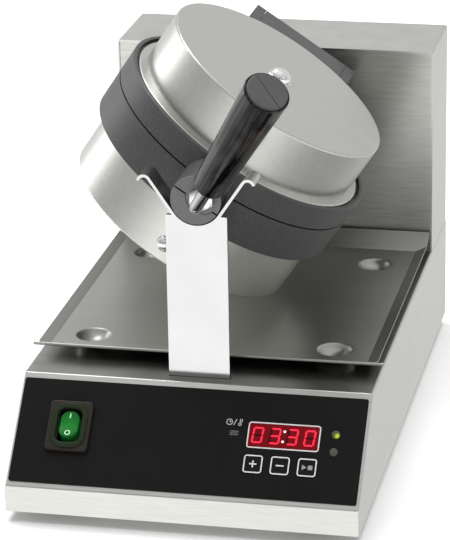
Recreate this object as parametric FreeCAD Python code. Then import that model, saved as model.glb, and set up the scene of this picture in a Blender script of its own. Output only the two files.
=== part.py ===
import FreeCAD, Part
import math
import os

V = FreeCAD.Vector

# A rotary waffle maker. Millimetres, +Z up, -Y to the front, origin on the table under the drum's middle.
# The drum's pieces are drawn level about the origin, and then tilted and lifted to the axis.

# Fits
RUN_FIT = 0.05
NEAR = 0.01
SEAT_GAP = 0.2
KEY_GAP = 0.3
SHEET_GAP = 0.3

# Waffle plates: the cavity, the ring round it, the web behind it and the rim round the cover's foot
WAFFLE_RADIUS = 88.0
RING_WALL = 10.6
RING_SKIRT = 3.0
SPLIT_GAP = 1.2
RING_EDGE = 0.8
UPPER_CAVITY = 10.0
LOWER_CAVITY = 14.0
UPPER_WEB = 6.0
LOWER_WEB = 8.0
UPPER_RIM = 3.1
LOWER_RIM = 7.7
GRID_PITCH = 21.0
PEG_BASE = 13.0
PEG_TIP = 9.0
UPPER_PEG = 5.5
LOWER_PEG = 8.0
PEG_MARGIN = 3.0

# Covers over the heaters
UPPER_COVER_STEP = 11.2
LOWER_COVER_STEP = 9.4
UPPER_COVER_HEIGHT = 43.4
LOWER_COVER_HEIGHT = 52.3
COVER_SHEET = 1.2
COVER_EDGE = 1.6
BEAD_HEIGHT = 2.5
BEAD_GAP = 2.0
BEAD_EDGE = 1.5
HEATER_RADIUS = 58.0
HEATER_TUBE = 4.0
PAD_GAP = 9.0
STUD_RADIUS = 4.0
NUT_RADIUS = 7.5
UPPER_NUT_HEIGHT = 10.0
LOWER_NUT_HEIGHT = 2.0
NUT_DOME = 0.7
STUD_SINK = 2.0
WASHER_RADIUS = 9.5
WASHER_THICK = 1.0
SENSOR_RADIUS = 9.0
SENSOR_HEIGHT = 7.0
SENSOR_OFFSET = 32.0
COVER_SCREW_SHANK = 2.0
COVER_SCREW_HEAD = 6.2
COVER_SCREW_DOME = 4.0
COVER_SCREW_LENGTH = 6.0
COVER_SCREW_DROP = 13.8

# Front hub, its boss for the handle, and the handle
HUB_RADIUS = 18.1
HUB_REACH = 37.7
HUB_ROOT = 2.5
HUB_EDGE = 0.6
BOSS_RADIUS = 12.0
BOSS_DEPTH = 12.0
BOSS_SIDE = 3.0
BOSS_RISE = 5.0
ROD_RADIUS = 4.5
ROD_REACH = 26.7
ROD_BEND = 12.0
ROD_EXPOSED = 31.5
ROD_TANG = 40.0
ROD_SEAT = 11.0
LOCK_NUT_FLATS = 16.0
LOCK_NUT_HEIGHT = 7.0
HANDLE_LEAN = 29.6
HANDLE_SKEW = -2.5
GRIP_LENGTH = 110.0
GRIP_ROOT_RADIUS = 10.5
GRIP_END_RADIUS = 15.0
GRIP_EDGE = 2.0
COLLAR_RADIUS = 7.0
COLLAR_HEIGHT = 4.0
CAP_THICK = 4.0
CAP_SETBACK = 0.5
CAP_SPIGOT_RADIUS = 9.0
CAP_SPIGOT = 12.0

# Hinge behind the drum
HINGE_SETBACK = 20.4
HINGE_RISE = 41.0
SLAB_WIDTH = 90.0
SLAB_TOP = 52.0
EAR_THICK = 8.0
EAR_GAP = 0.25
BLOCK_FRONT = 21.0
BLOCK_REAR = 11.0
BLOCK_DEPTH = 26.0
PIN_RADIUS = 5.0
BUSH_WALL = 2.0
BUSH_LENGTH = 14.0
LUG_WIDTH = 60.0
LUG_REAR = 3.0
LOWER_LUG_WIDTH = 68.0
LOWER_LUG_TOP = 3.0
LUG_STEP = 1.0
YOKE_GAP = 12.3
YOKE_WEB = 8.0
YOKE_TOP = 24.0
YOKE_FOOT = 6.0
BLOCK_SCREW_SPACING = 36.0
BLOCK_SCREW_AHEAD = 13.0
BLOCK_SCREW_SHANK = 2.5
BLOCK_SCREW_HEAD = 4.5
BLOCK_SCREW_HEAD_HEIGHT = 3.5
BLOCK_SCREW_BITE = 12.0
PLATE_SCREW_SPACING = 54.0
PLATE_SCREW_DROP = 16.0
PLATE_SCREW_BITE = 20.0

# Main shaft, bearing and stops
SHAFT_RADIUS = 12.0
SHAFT_BORE = 6.0
SHAFT_FLANGE_RADIUS = 25.0
SHAFT_FLANGE = 7.0
FLANGE_SCREW_CIRCLE = 18.5
FLANGE_SCREW_SHANK = 2.0
FLANGE_SCREW_HEAD = 3.5
FLANGE_SCREW_HEAD_HEIGHT = 4.0
FLANGE_SCREW_BITE = 6.0
BEARING_BUSH_WALL = 3.0
BEARING_BUSH_LENGTH = 16.0
BUSH_FLANGE_RADIUS = 19.0
BUSH_FLANGE = 3.0
BLOCK_WIDTH = 76.0
BEARING_LENGTH = 40.0
BEARING_SCREW_INSET = 7.0
BEARING_SCREW_SHANK = 2.5
BEARING_SCREW_HEAD = 5.0
CAM_GAP = 1.0
CAM_THICK = 10.0
CAM_RADIUS = 18.0
CAM_LOBE_RADIUS = 26.5
CAM_LOBE_HALF_ANGLE = 12.0
CAM_LOBE_ANGLE = 90.0
STOP_CIRCLE = 23.5
STOP_RADIUS = 2.5
STOP_PLAY = 0.5
STOP_ROOT = 8.0
TURN_RANGE = 180.0
SHAFT_COLLAR_WALL = 6.0
SHAFT_COLLAR_LENGTH = 8.0
REST_TILT = 34.0

# Front support
SADDLE_GAP = 0.7
SADDLE_THICK = 2.0
SADDLE_DEPTH = 20.0
SADDLE_ARM_ANGLE = 34.0
SADDLE_ARM = 29.8
CURL_RADIUS = 3.2
CURL_TURN = 135.0
PLATE_SETBACK = 1.0
PLATE_WIDTH = 43.5
PLATE_THICK = 3.0
PLATE_RISE = 9.1
PLATE_CHAMFER = 0.8
PLATE_TAIL = 38.0
SLOT_GAP = 0.6
BRACKET_THICK = 3.0
BRACKET_LEG = 28.0
SUPPORT_SCREW_SPACING = 26.0
SUPPORT_SCREW_DROP = 20.0
SUPPORT_SCREW_SHANK = 2.5
SUPPORT_SCREW_HEAD = 4.5
SUPPORT_SCREW_HEAD_HEIGHT = 3.0

# Housing
SHEET = 1.5
FOLD_RADIUS = 2.0
BASE_WIDTH = 250.0
BASE_HEIGHT = 80.5
LIP_HEIGHT = 19.4
PANEL_ANGLE = 45.0
PANEL_TO_PLATE = 9.6
DRUM_CLEARANCE = 15.4
TOWER_DEPTH = 80.0
TOWER_ABOVE_AXIS = 31.0
TOWER_INSET = 0.5
TOWER_RECESS = 1.0
FLANGE_WIDTH = 12.0
BOTTOM_SHEET = 1.2
FOOT_HEIGHT = 8.0
FOOT_RADIUS = 14.0
FOOT_TAPER = 2.0
FOOT_INSET = 34.0
FOOT_SCREW_SHANK = 2.5
FOOT_SCREW_HEAD = 4.5
FOOT_SCREW_RECESS = 5.0
FOOT_SCREW_HEAD_HEIGHT = 3.0
WELD_NUT_RADIUS = 5.5
WELD_NUT_HEIGHT = 5.0
SMALL_SCREW_SHANK = 1.5
SMALL_SCREW_HEAD = 3.0
SMALL_SCREW_HEAD_HEIGHT = 1.8
SMALL_SCREW_LENGTH = 6.0
SMALL_SCREW_INSET = 20.0
VENT_LENGTH = 50.0
VENT_WIDTH = 4.0
VENT_PITCH = 10.0
VENT_COUNT = 6
WIRE_WINDOW_WIDTH = 90.0
WIRE_WINDOW_DEPTH = 36.0

# Control panel, laid out on the slope from its lower edge
FASCIA_SIDE = 2.25
FASCIA_FOOT = 3.7
FASCIA_HEAD = 4.7
FASCIA_THICK = 1.0
FASCIA_CORNER = 1.5
DISPLAY_FROM_EDGE = 58.1
DISPLAY_UP = 50.0
DISPLAY_WIDTH = 50.4
DISPLAY_HEIGHT = 18.9
DISPLAY_GAP = 0.1
WINDOW_SINK = 0.5
MODULE_DEPTH = 8.0
BOARD_THICK = 1.6
BOARD_WIDTH = 86.0
BOARD_HEIGHT = 52.0
BOARD_UP = 40.5
BOARD_FROM_EDGE = 53.5
PANEL_WINDOW_MARGIN = 1.1
STANDOFF_RADIUS = 2.8
STANDOFF_INSET = 3.2
KEY_SIZE = 13.6
KEY_PITCH = 18.9
KEY_UP = 28.2
KEY_CORNER = 2.0
KEY_PROUD = 0.4
KEY_FLANGE = 1.0
KEY_FLANGE_THICK = 1.4
KEY_STEM_RADIUS = 2.2
KEY_STEM = 2.7
KEY_TRAVEL = 0.4
KEY_SWITCH_SIZE = 6.0
PLUNGER_RADIUS = 1.8
PLUNGER_HEIGHT = 0.8
LAMP_FROM_EDGE = 22.1
LAMP_UP = 47.3
LAMP_SPACING = 13.0
LAMP_RADIUS = 3.0
LAMP_PROUD = 1.2
LAMP_DOME = 1.1

# Rocker switch
SWITCH_FROM_EDGE = 40.0
SWITCH_UP = 46.2
BEZEL_WIDTH = 30.7
BEZEL_HEIGHT = 37.5
BEZEL_THICK = 3.2
BEZEL_CORNER = 3.0
BEZEL_EDGE = 1.1
BEZEL_PLAY = 0.8
ROCKER_WIDTH = 16.0
ROCKER_RADIUS = 12.5
ROCKER_CORNER = 6.5
ROCKER_PIVOT_SINK = 3.0
ROCKER_CREST = 6.5
ROCKER_SLOPE = 7.0
ROCKER_KEEL = 5.0
ROCKER_STUB_RADIUS = 1.5
ROCKER_STUB = 1.5
SWITCH_WALL = 2.7
SWITCH_DEPTH = 24.0
SWITCH_FLOOR = 9.0

# Drip tray
TRAY_SHEET = 1.0
TRAY_RISE = 7.0
TRAY_SIDE_MARGIN = 10.0
TRAY_FLARE = 8.0
TRAY_SIDE_HEIGHT = 2.6
TRAY_BACK_HEIGHT = 9.5
TRAY_BACK_RUN = 19.0
TRAY_BACK_GAP = 3.0
TRAY_FRONT_GAP = 21.3
HEM_RADIUS = 1.2
HEM_OVERHANG = 2.0
DIMPLE_RADIUS = 15.0
DIMPLE_FOOT_RADIUS = 2.5
DIMPLE_RIM_BEND = 2.5
DIMPLE_SIDE_INSET = 26.5
DIMPLE_FRONT_INSET = 24.0
DIMPLE_BACK_INSET = 34.0

# Mains parts in the base, and the gland behind
TERMINALS_WIDTH = 40.0
TERMINALS_DEPTH = 22.0
TERMINALS_HEIGHT = 18.0
TERMINAL_PITCH = 11.5
RELAY_WIDTH = 46.0
RELAY_DEPTH = 34.0
RELAY_HEIGHT = 24.0
GLAND_RADIUS = 9.0
GLAND_HEX_FLATS = 24.0
GLAND_HEX_HEIGHT = 6.0
GLAND_DOME_RADIUS = 11.0
GLAND_TIP_RADIUS = 8.3
GLAND_LENGTH = 20.9
GLAND_BORE = 3.6
GLAND_SNAP = 1.5
GLAND_SNAP_LENGTH = 5.0
GLAND_INSET = 42.0
GLAND_UP = 36.0

# Worked out from the sizes above
RING_RADIUS = WAFFLE_RADIUS + RING_WALL
SKIRT_RADIUS = RING_RADIUS - RING_SKIRT
BEAD_RADIUS = SKIRT_RADIUS - BEAD_GAP
UPPER_BACK = UPPER_CAVITY + UPPER_WEB
LOWER_BACK = LOWER_CAVITY + LOWER_WEB
UPPER_RING_TOP = UPPER_BACK + UPPER_RIM
LOWER_RING_FOOT = LOWER_BACK + LOWER_RIM
UPPER_COVER_RADIUS = RING_RADIUS - UPPER_COVER_STEP
LOWER_COVER_RADIUS = RING_RADIUS - LOWER_COVER_STEP
UPPER_COVER_TOP = UPPER_BACK + UPPER_COVER_HEIGHT
LOWER_COVER_FOOT = LOWER_BACK + LOWER_COVER_HEIGHT
SWEEP_RADIUS = math.hypot(LOWER_COVER_RADIUS, LOWER_COVER_FOOT)

HUB_FACE = -(RING_RADIUS + HUB_REACH)
PLATE_FRONT = HUB_FACE + PLATE_SETBACK
PIN_Y = RING_RADIUS + HINGE_SETBACK
WEB_FRONT = PIN_Y + YOKE_GAP
WEB_REAR = WEB_FRONT + YOKE_WEB
FLANGE_REAR = WEB_REAR + SHAFT_FLANGE
BEARING_FRONT = FLANGE_REAR + SEAT_GAP + BUSH_FLANGE
BEARING_REAR = BEARING_FRONT + BEARING_LENGTH
CAM_FRONT = BEARING_REAR + BUSH_FLANGE + CAM_GAP
CAM_REAR = CAM_FRONT + CAM_THICK
SHAFT_END = CAM_REAR + SHAFT_COLLAR_LENGTH
TOWER_FRONT = BEARING_FRONT - SHEET - TOWER_RECESS
TOWER_BACK = TOWER_FRONT + TOWER_DEPTH

BASE_FOOT = FOOT_HEIGHT
BASE_TOP = BASE_FOOT + BASE_HEIGHT
PANEL_RISE = BASE_HEIGHT - LIP_HEIGHT
PANEL_RUN = PANEL_RISE / math.tan(math.radians(PANEL_ANGLE))
PANEL_LENGTH = math.hypot(PANEL_RISE, PANEL_RUN)
PANEL_HEAD_Y = PLATE_FRONT - PANEL_TO_PLATE
BASE_FRONT = PANEL_HEAD_Y - PANEL_RUN
AXIS_Z = BASE_TOP + SWEEP_RADIUS + DRUM_CLEARANCE
TOWER_TOP = AXIS_Z + TOWER_ABOVE_AXIS
HALF_WIDTH = BASE_WIDTH / 2
TOWER_HALF = HALF_WIDTH - TOWER_INSET
SADDLE_INNER = HUB_RADIUS + SADDLE_GAP
SADDLE_OUTER = SADDLE_INNER + SADDLE_THICK
BEARING_HALF_HEIGHT = TOWER_ABOVE_AXIS - SHEET - 2 * SEAT_GAP
BLOCK_HALF = SLAB_WIDTH / 2 - EAR_THICK - EAR_GAP
BLOCK_FOOT = SLAB_TOP - BLOCK_DEPTH


def span(low, high):
    """Order a pair of limits."""
    return min(low, high), max(low, high)


def block(x, y, z):
    """A box between three pairs of limits."""
    (x0, x1), (y0, y1), (z0, z1) = span(*x), span(*y), span(*z)
    return Part.makeBox(x1 - x0, y1 - y0, z1 - z0, V(x0, y0, z0))


def rod(radius, start, end):
    """A round bar from one point to another."""
    return Part.makeCylinder(radius, (end - start).Length, start, end - start)


def cone(radius_start, radius_end, start, end):
    """A tapered round bar from one point to another."""
    return Part.makeCone(radius_start, radius_end, (end - start).Length, start, end - start)


def prism(points, push):
    """A flat outline pushed along a vector."""
    return Part.Face(Part.makePolygon(points + points[:1])).extrude(push)


def turned(profile):
    """A closed outline of (radius, height) points turned about the Z axis."""
    points = [V(radius, 0, height) for radius, height in profile]
    return Part.Face(Part.makePolygon(points + points[:1])).revolve(V(0, 0, 0), V(0, 0, 1), 360)


def fused(shapes):
    """Several shapes as one solid."""
    return shapes[0].multiFuse(shapes[1:]).removeSplitter()


def group(shapes):
    """Several separate solids in one node."""
    return Part.makeCompound(shapes)


def rounded_plate(width, height, thick, corner):
    """A flat plate with rounded corners, centred on the origin, from height 0 up."""
    plate = block((-width / 2, width / 2), (-height / 2, height / 2), (0, thick))
    uprights = [edge for edge in plate.Edges if abs(edge.tangentAt(edge.FirstParameter).z) > 0.9]
    return plate.makeFillet(corner, uprights)


def hex_bar(flats, start, end):
    """A six-sided bar along Y."""
    radius = flats / math.sqrt(3)
    corners = [V(start.x + radius * math.cos(math.radians(60 * k)), start.y,
                 start.z + radius * math.sin(math.radians(60 * k))) for k in range(6)]
    return prism(corners, end - start)


def screw(shank, head, head_height, seat, tip):
    """A screw whose head stands on its seat, on the far side from its tip."""
    out = (seat - tip).normalize()
    return fused([rod(shank, tip, seat), rod(head, seat, seat + out * head_height)])


def bottom_vents(low, high):
    """A row of vent slots through the middle of the bottom plate."""
    half = VENT_LENGTH / 2
    slots = []
    for k in range(VENT_COUNT):
        y = (k - VENT_COUNT / 2) * VENT_PITCH
        slots.append(block((-half, half), (y, y + VENT_WIDTH), (low, high)))
    return slots


def in_drum(shape):
    """Tilt and lift a piece from the level drum to its place at rest."""
    placed = shape.copy()
    placed.rotate(V(0, 0, 0), V(0, 1, 0), REST_TILT)
    placed.translate(V(0, 0, AXIS_Z))
    return placed


def on_panel(shape):
    """Lay a piece drawn on the level (x across, y up the slope, z outwards) on the sloping panel."""
    placed = shape.copy()
    placed.rotate(V(0, 0, 0), V(1, 0, 0), PANEL_ANGLE)
    placed.translate(V(0, BASE_FRONT, BASE_FOOT + LIP_HEIGHT))
    return placed


def moved(shape, x, y, z):
    """A copy of a shape at an offset."""
    placed = shape.copy()
    placed.translate(V(x, y, z))
    return placed


def flipped(shape):
    """A copy of a shape turned upside down about the Y axis."""
    placed = shape.copy()
    placed.rotate(V(0, 0, 0), V(0, 1, 0), 180)
    return placed


def grid_pegs(floor, height):
    """The blunt pegs of a waffle grid that stand on a cavity floor, clear of its wall."""
    def square(side, z):
        half = side / 2
        corners = [V(-half, -half, z), V(half, -half, z), V(half, half, z), V(-half, half, z)]
        return Part.makePolygon(corners + corners[:1])

    peg = Part.makeLoft([square(PEG_BASE, floor), square(PEG_TIP, floor + height)], True, True)
    reach = int(WAFFLE_RADIUS / GRID_PITCH) + 1
    pegs = []
    for i in range(-reach, reach):
        for j in range(-reach, reach):
            x, y = (i + 0.5) * GRID_PITCH, (j + 0.5) * GRID_PITCH
            corner = math.hypot(abs(x) + PEG_BASE / 2, abs(y) + PEG_BASE / 2)
            if corner < WAFFLE_RADIUS - PEG_MARGIN:
                pegs.append(moved(peg, x, y, 0))
    return pegs


def plate_disc(cavity, back, rim, peg):
    """A waffle plate, face down at height 0: cavity, pegs, ring and the rim round the cover's foot."""
    disc = turned([(0, cavity), (WAFFLE_RADIUS, cavity), (WAFFLE_RADIUS, SPLIT_GAP / 2),
                   (RING_RADIUS, SPLIT_GAP / 2), (RING_RADIUS, rim - RING_EDGE),
                   (RING_RADIUS - RING_EDGE, rim), (SKIRT_RADIUS, rim), (SKIRT_RADIUS, back), (0, back)])
    return disc.multiFuse(grid_pegs(cavity, -peg))


def half_hub(upper):
    """One half of the round hub at the front of the drum."""
    bar = rod(HUB_RADIUS, V(0, HUB_FACE, 0), V(0, -SKIRT_RADIUS - RING_SKIRT + HUB_ROOT, 0))
    bar = bar.makeChamfer(HUB_EDGE, [e for e in bar.Edges if e.BoundBox.YMax < HUB_FACE + NEAR])
    low, high = (SPLIT_GAP / 2, HUB_RADIUS) if upper else (-HUB_RADIUS, -SPLIT_GAP / 2)
    return bar.common(block((-HUB_RADIUS, HUB_RADIUS), (HUB_FACE, 0), (low, high)))


def handle_boss(play):
    """The round seat of the handle, which belongs to the upper half of the hub."""
    start = V(BOSS_SIDE, HUB_FACE, BOSS_RISE)
    return rod(BOSS_RADIUS + play, start, start + V(0, BOSS_DEPTH + play, 0))


def upper_plate():
    """The lid's cast plate with its half hub, handle boss and hinge lug."""
    half = LUG_WIDTH / 2
    rear = PIN_Y + LUG_REAR
    lug = [block((-half, half), (WAFFLE_RADIUS - UPPER_WEB, rear), (LOWER_LUG_TOP, UPPER_BACK - SEAT_GAP)),
           block((-half, half), (SKIRT_RADIUS + RING_SKIRT / 3, rear), (LOWER_LUG_TOP, BLOCK_FOOT))]
    cavity = rod(WAFFLE_RADIUS, V(0, 0, 0), V(0, 0, UPPER_CAVITY))
    lug = [piece.cut(cavity) for piece in lug]
    solid = fused([plate_disc(UPPER_CAVITY, UPPER_BACK, UPPER_RING_TOP, UPPER_PEG),
                   half_hub(True), handle_boss(0)] + lug)
    mouth = V(BOSS_SIDE, HUB_FACE, BOSS_RISE)
    holes = [rod(STUD_RADIUS, V(0, 0, UPPER_CAVITY + STUD_SINK), V(0, 0, UPPER_BACK)),
             rod(ROD_RADIUS, mouth, mouth + V(0, ROD_SEAT, 0))]
    for x in (-BLOCK_SCREW_SPACING / 2, BLOCK_SCREW_SPACING / 2):
        y = PIN_Y - BLOCK_SCREW_AHEAD
        holes.append(rod(BLOCK_SCREW_SHANK, V(x, y, LOWER_LUG_TOP), V(x, y, BLOCK_FOOT)))
        holes.append(rod(BLOCK_SCREW_HEAD, V(x, y, LOWER_LUG_TOP),
                         V(x, y, LOWER_LUG_TOP + BLOCK_SCREW_HEAD)))
    return solid.cut(holes)


def lower_plate():
    """The fixed cast plate with its half hub, the notch round the handle boss, and its rear lug."""
    half = LOWER_LUG_WIDTH / 2
    disc = flipped(plate_disc(LOWER_CAVITY, LOWER_BACK, LOWER_RING_FOOT, LOWER_PEG))
    lug = fused([block((-half, half), (SKIRT_RADIUS + RING_SKIRT / 3, WEB_FRONT),
                       (-LOWER_RING_FOOT + LUG_STEP, -LOWER_LUG_TOP)),
                 block((-half, half), (WAFFLE_RADIUS - LOWER_WEB, WEB_FRONT),
                       (-LOWER_BACK + SEAT_GAP, -LOWER_LUG_TOP))])
    lug = lug.cut(rod(WAFFLE_RADIUS, V(0, 0, 0), V(0, 0, -LOWER_CAVITY)))
    solid = fused([disc, half_hub(False), lug]).cut(handle_boss(SEAT_GAP * 2))
    holes = [rod(STUD_RADIUS, V(0, 0, -LOWER_CAVITY - STUD_SINK), V(0, 0, -LOWER_BACK))]
    for x in (-PLATE_SCREW_SPACING / 2, PLATE_SCREW_SPACING / 2):
        holes.append(rod(BLOCK_SCREW_SHANK, V(x, WEB_FRONT - PLATE_SCREW_BITE, -PLATE_SCREW_DROP),
                         V(x, WEB_FRONT, -PLATE_SCREW_DROP)))
    return solid.cut(holes)


def cover(radius, seat, top):
    """A round sheet cover that stands on a plate's back, with a rolled edge, a bead foot and a bolt hole."""
    edge = COVER_EDGE
    wall = COVER_SHEET
    skin = turned([(0, top), (radius, top), (radius, seat + BEAD_HEIGHT), (BEAD_RADIUS, seat + BEAD_HEIGHT),
                   (BEAD_RADIUS, seat), (0, seat)])
    rims = [e for e in skin.Edges if e.BoundBox.ZMin > top - NEAR and e.BoundBox.XLength > radius]
    skin = skin.makeFillet(edge, rims)
    bead_top = seat + BEAD_HEIGHT
    wide = radius + BEAD_RADIUS
    bead = [e for e in skin.Edges if abs(e.BoundBox.ZMin - bead_top) < NEAR and e.BoundBox.XLength > wide]
    skin = skin.makeFillet(BEAD_EDGE, bead)
    hollow = rod(radius - wall, V(0, 0, seat), V(0, 0, top - wall))
    inner = [e for e in hollow.Edges if e.BoundBox.ZMin > top - wall - NEAR and e.BoundBox.XLength > radius]
    hollow = hollow.makeFillet(edge - wall, inner)
    return skin.cut([hollow, rod(STUD_RADIUS, V(0, 0, top - wall), V(0, 0, top))])


def cap_bolt(cavity, top, height):
    """A domed bolt on its washer, through a cover into the plate's back."""
    seat = top + WASHER_THICK
    head = rod(NUT_RADIUS, V(0, 0, seat), V(0, 0, seat + height))
    rim = [e for e in head.Edges if e.BoundBox.ZMin > seat + height / 2]
    dome = head.makeFillet(NUT_DOME * height, rim)
    washer = rod(WASHER_RADIUS, V(0, 0, top), V(0, 0, seat))
    shank = rod(STUD_RADIUS, V(0, 0, cavity + STUD_SINK), V(0, 0, seat))
    return fused([washer, dome, shank])


def cover_screw(radius, height):
    """The small domed screw on the front of a cover, with its nut inside."""
    face = -radius
    shank = rod(COVER_SCREW_SHANK, V(0, face + COVER_SCREW_LENGTH, height), V(0, face, height))
    curve = (COVER_SCREW_HEAD ** 2 + COVER_SCREW_DOME ** 2) / (2 * COVER_SCREW_DOME)
    ball = Part.makeSphere(curve, V(0, face + curve - COVER_SCREW_DOME, height))
    front = block((-COVER_SCREW_HEAD, COVER_SCREW_HEAD), (face - COVER_SCREW_DOME, face - SEAT_GAP),
                  (height - COVER_SCREW_HEAD, height + COVER_SCREW_HEAD))
    neck = rod(COVER_SCREW_SHANK, V(0, face, height), V(0, face - 2 * SEAT_GAP, height))
    nut = rod(COVER_SCREW_HEAD, V(0, face + COVER_SHEET + 2 * SEAT_GAP, height),
              V(0, face + COVER_SCREW_LENGTH, height))
    return fused([shank, neck, ball.common(front), nut])


def heater(back):
    """A ring heating tube that lies on a plate's back."""
    return Part.makeTorus(HEATER_RADIUS, HEATER_TUBE, V(0, 0, back + HEATER_TUBE + SEAT_GAP))


def insulation(radius, back, top):
    """The pad that fills a cover above the heater."""
    low = back + 2 * HEATER_TUBE + 2 * SEAT_GAP
    high = top - COVER_SHEET - SEAT_GAP
    pad = rod(radius - PAD_GAP, V(0, 0, low), V(0, 0, high))
    return pad.cut(rod(STUD_RADIUS + SEAT_GAP, V(0, 0, low), V(0, 0, high)))


def sensor(back):
    """A temperature sensor puck on a plate's back."""
    return rod(SENSOR_RADIUS, V(SENSOR_OFFSET, 0, back), V(SENSOR_OFFSET, 0, back + SENSOR_HEIGHT))


def drum_halves():
    """Both halves of the drum with their covers, heaters and small parts."""
    screw_height = LOWER_COVER_FOOT - COVER_SCREW_DROP
    screw_hole = rod(COVER_SCREW_SHANK, V(0, -LOWER_COVER_RADIUS, screw_height),
                     V(0, COVER_SCREW_LENGTH - LOWER_COVER_RADIUS, screw_height))
    lower_cover = cover(LOWER_COVER_RADIUS, LOWER_BACK, LOWER_COVER_FOOT).cut(screw_hole)
    return {
        "upper_plate": upper_plate(),
        "upper_cover": cover(UPPER_COVER_RADIUS, UPPER_BACK, UPPER_COVER_TOP),
        "upper_heater": heater(UPPER_BACK),
        "upper_insulation": insulation(UPPER_COVER_RADIUS, UPPER_BACK, UPPER_COVER_TOP),
        "upper_sensor": sensor(UPPER_BACK),
        "upper_cap_bolt": cap_bolt(UPPER_CAVITY, UPPER_COVER_TOP, UPPER_NUT_HEIGHT),
        "lower_plate": lower_plate(),
        "lower_cover": flipped(lower_cover),
        "lower_heater": flipped(heater(LOWER_BACK)),
        "lower_insulation": flipped(insulation(LOWER_COVER_RADIUS, LOWER_BACK, LOWER_COVER_FOOT)),
        "lower_sensor": flipped(sensor(LOWER_BACK)),
        "lower_cap_bolt": flipped(cap_bolt(LOWER_CAVITY, LOWER_COVER_FOOT, LOWER_NUT_HEIGHT)),
        "lower_cover_screw": flipped(cover_screw(LOWER_COVER_RADIUS, screw_height)),
    }


def bent_bar(radius, start, corner, end, bend):
    """A round bar with one bend between two straight legs."""
    into = (corner - start).normalize()
    out = (end - corner).normalize()
    turn = math.acos(into.dot(out))
    run = bend * math.tan(turn / 2)
    bend_start, bend_end = corner - into * run, corner + out * run
    axis = into.cross(out).normalize()
    middle = bend_start + axis.cross(into) * bend
    section = Part.Face(Part.Wire(Part.makeCircle(radius, bend_start, into)))
    elbow = section.revolve(middle, axis, math.degrees(turn))
    return fused([rod(radius, start, bend_start), elbow, rod(radius, bend_end, end)])


def handle():
    """The bent rod, its lock nut, the tapered grip and the grip's end cap."""
    lean = math.radians(HANDLE_LEAN)
    along = V(0, -math.sin(lean), math.cos(lean))
    inside = V(0, HUB_FACE + ROD_SEAT, 0)
    corner = V(0, HUB_FACE - ROD_REACH, 0)
    grip_start = corner + along * ROD_EXPOSED
    grip_end = grip_start + along * GRIP_LENGTH
    tang_end = grip_start + along * ROD_TANG
    bar = bent_bar(ROD_RADIUS, inside, corner, tang_end, ROD_BEND)
    ring = rod(COLLAR_RADIUS, grip_start - along * COLLAR_HEIGHT, grip_start)
    grip = cone(GRIP_ROOT_RADIUS, GRIP_END_RADIUS, grip_start, grip_end)
    root_edge = [e for e in grip.Edges if abs(e.BoundBox.XLength - 2 * GRIP_ROOT_RADIUS) < NEAR]
    grip = grip.makeFillet(GRIP_EDGE, root_edge)
    spigot_start = grip_end - along * CAP_SPIGOT
    grip = grip.cut([rod(ROD_RADIUS, grip_start, tang_end), rod(CAP_SPIGOT_RADIUS, spigot_start, grip_end)])
    cap_end = grip_end + along * CAP_THICK
    cap = fused([rod(GRIP_END_RADIUS - CAP_SETBACK, grip_end, cap_end),
                 rod(CAP_SPIGOT_RADIUS, spigot_start, grip_end)])
    nut_face = V(0, HUB_FACE, 0)
    nut = hex_bar(LOCK_NUT_FLATS, nut_face, nut_face - V(0, LOCK_NUT_HEIGHT, 0))
    nut = nut.cut(rod(ROD_RADIUS, nut_face, nut_face - V(0, LOCK_NUT_HEIGHT, 0)))
    pieces = {"handle_rod": fused([bar, ring]), "handle_grip": grip, "grip_cap": cap, "handle_nut": nut}
    for piece in pieces.values():
        piece.rotate(V(0, 0, 0), V(0, 1, 0), HANDLE_SKEW)
        piece.translate(V(BOSS_SIDE, 0, BOSS_RISE))
    return pieces


def lid_hinge():
    """The lid's hinge block with its bushes and screws."""
    bush_radius = PIN_RADIUS + BUSH_WALL
    core = block((-BLOCK_HALF, BLOCK_HALF), (PIN_Y - BLOCK_FRONT, PIN_Y + BLOCK_REAR),
                 (BLOCK_FOOT, SLAB_TOP))
    left, right = V(-BLOCK_HALF, PIN_Y, HINGE_RISE), V(BLOCK_HALF, PIN_Y, HINGE_RISE)
    holes = [rod(PIN_RADIUS + BUSH_WALL / 2, left, right)]
    bushes = []
    for side in (-1, 1):
        outer = V(side * BLOCK_HALF, PIN_Y, HINGE_RISE)
        inner = V(side * (BLOCK_HALF - BUSH_LENGTH), PIN_Y, HINGE_RISE)
        holes.append(rod(bush_radius, inner, outer))
        bushes.append(rod(bush_radius, inner, outer).cut(rod(PIN_RADIUS + RUN_FIT, inner, outer)))
    screws = []
    for x in (-BLOCK_SCREW_SPACING / 2, BLOCK_SCREW_SPACING / 2):
        y = PIN_Y - BLOCK_SCREW_AHEAD
        seat = V(x, y, LOWER_LUG_TOP + BLOCK_SCREW_HEAD)
        tip = V(x, y, BLOCK_FOOT + BLOCK_SCREW_BITE)
        holes.append(rod(BLOCK_SCREW_SHANK, V(x, y, BLOCK_FOOT), tip))
        head = BLOCK_SCREW_HEAD - SEAT_GAP
        screws.append(screw(BLOCK_SCREW_SHANK, head, BLOCK_SCREW_HEAD_HEIGHT, seat, tip))
    return {"hinge_block": core.cut(holes), "hinge_bushes": group(bushes),
            "hinge_block_screws": group(screws)}


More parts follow.
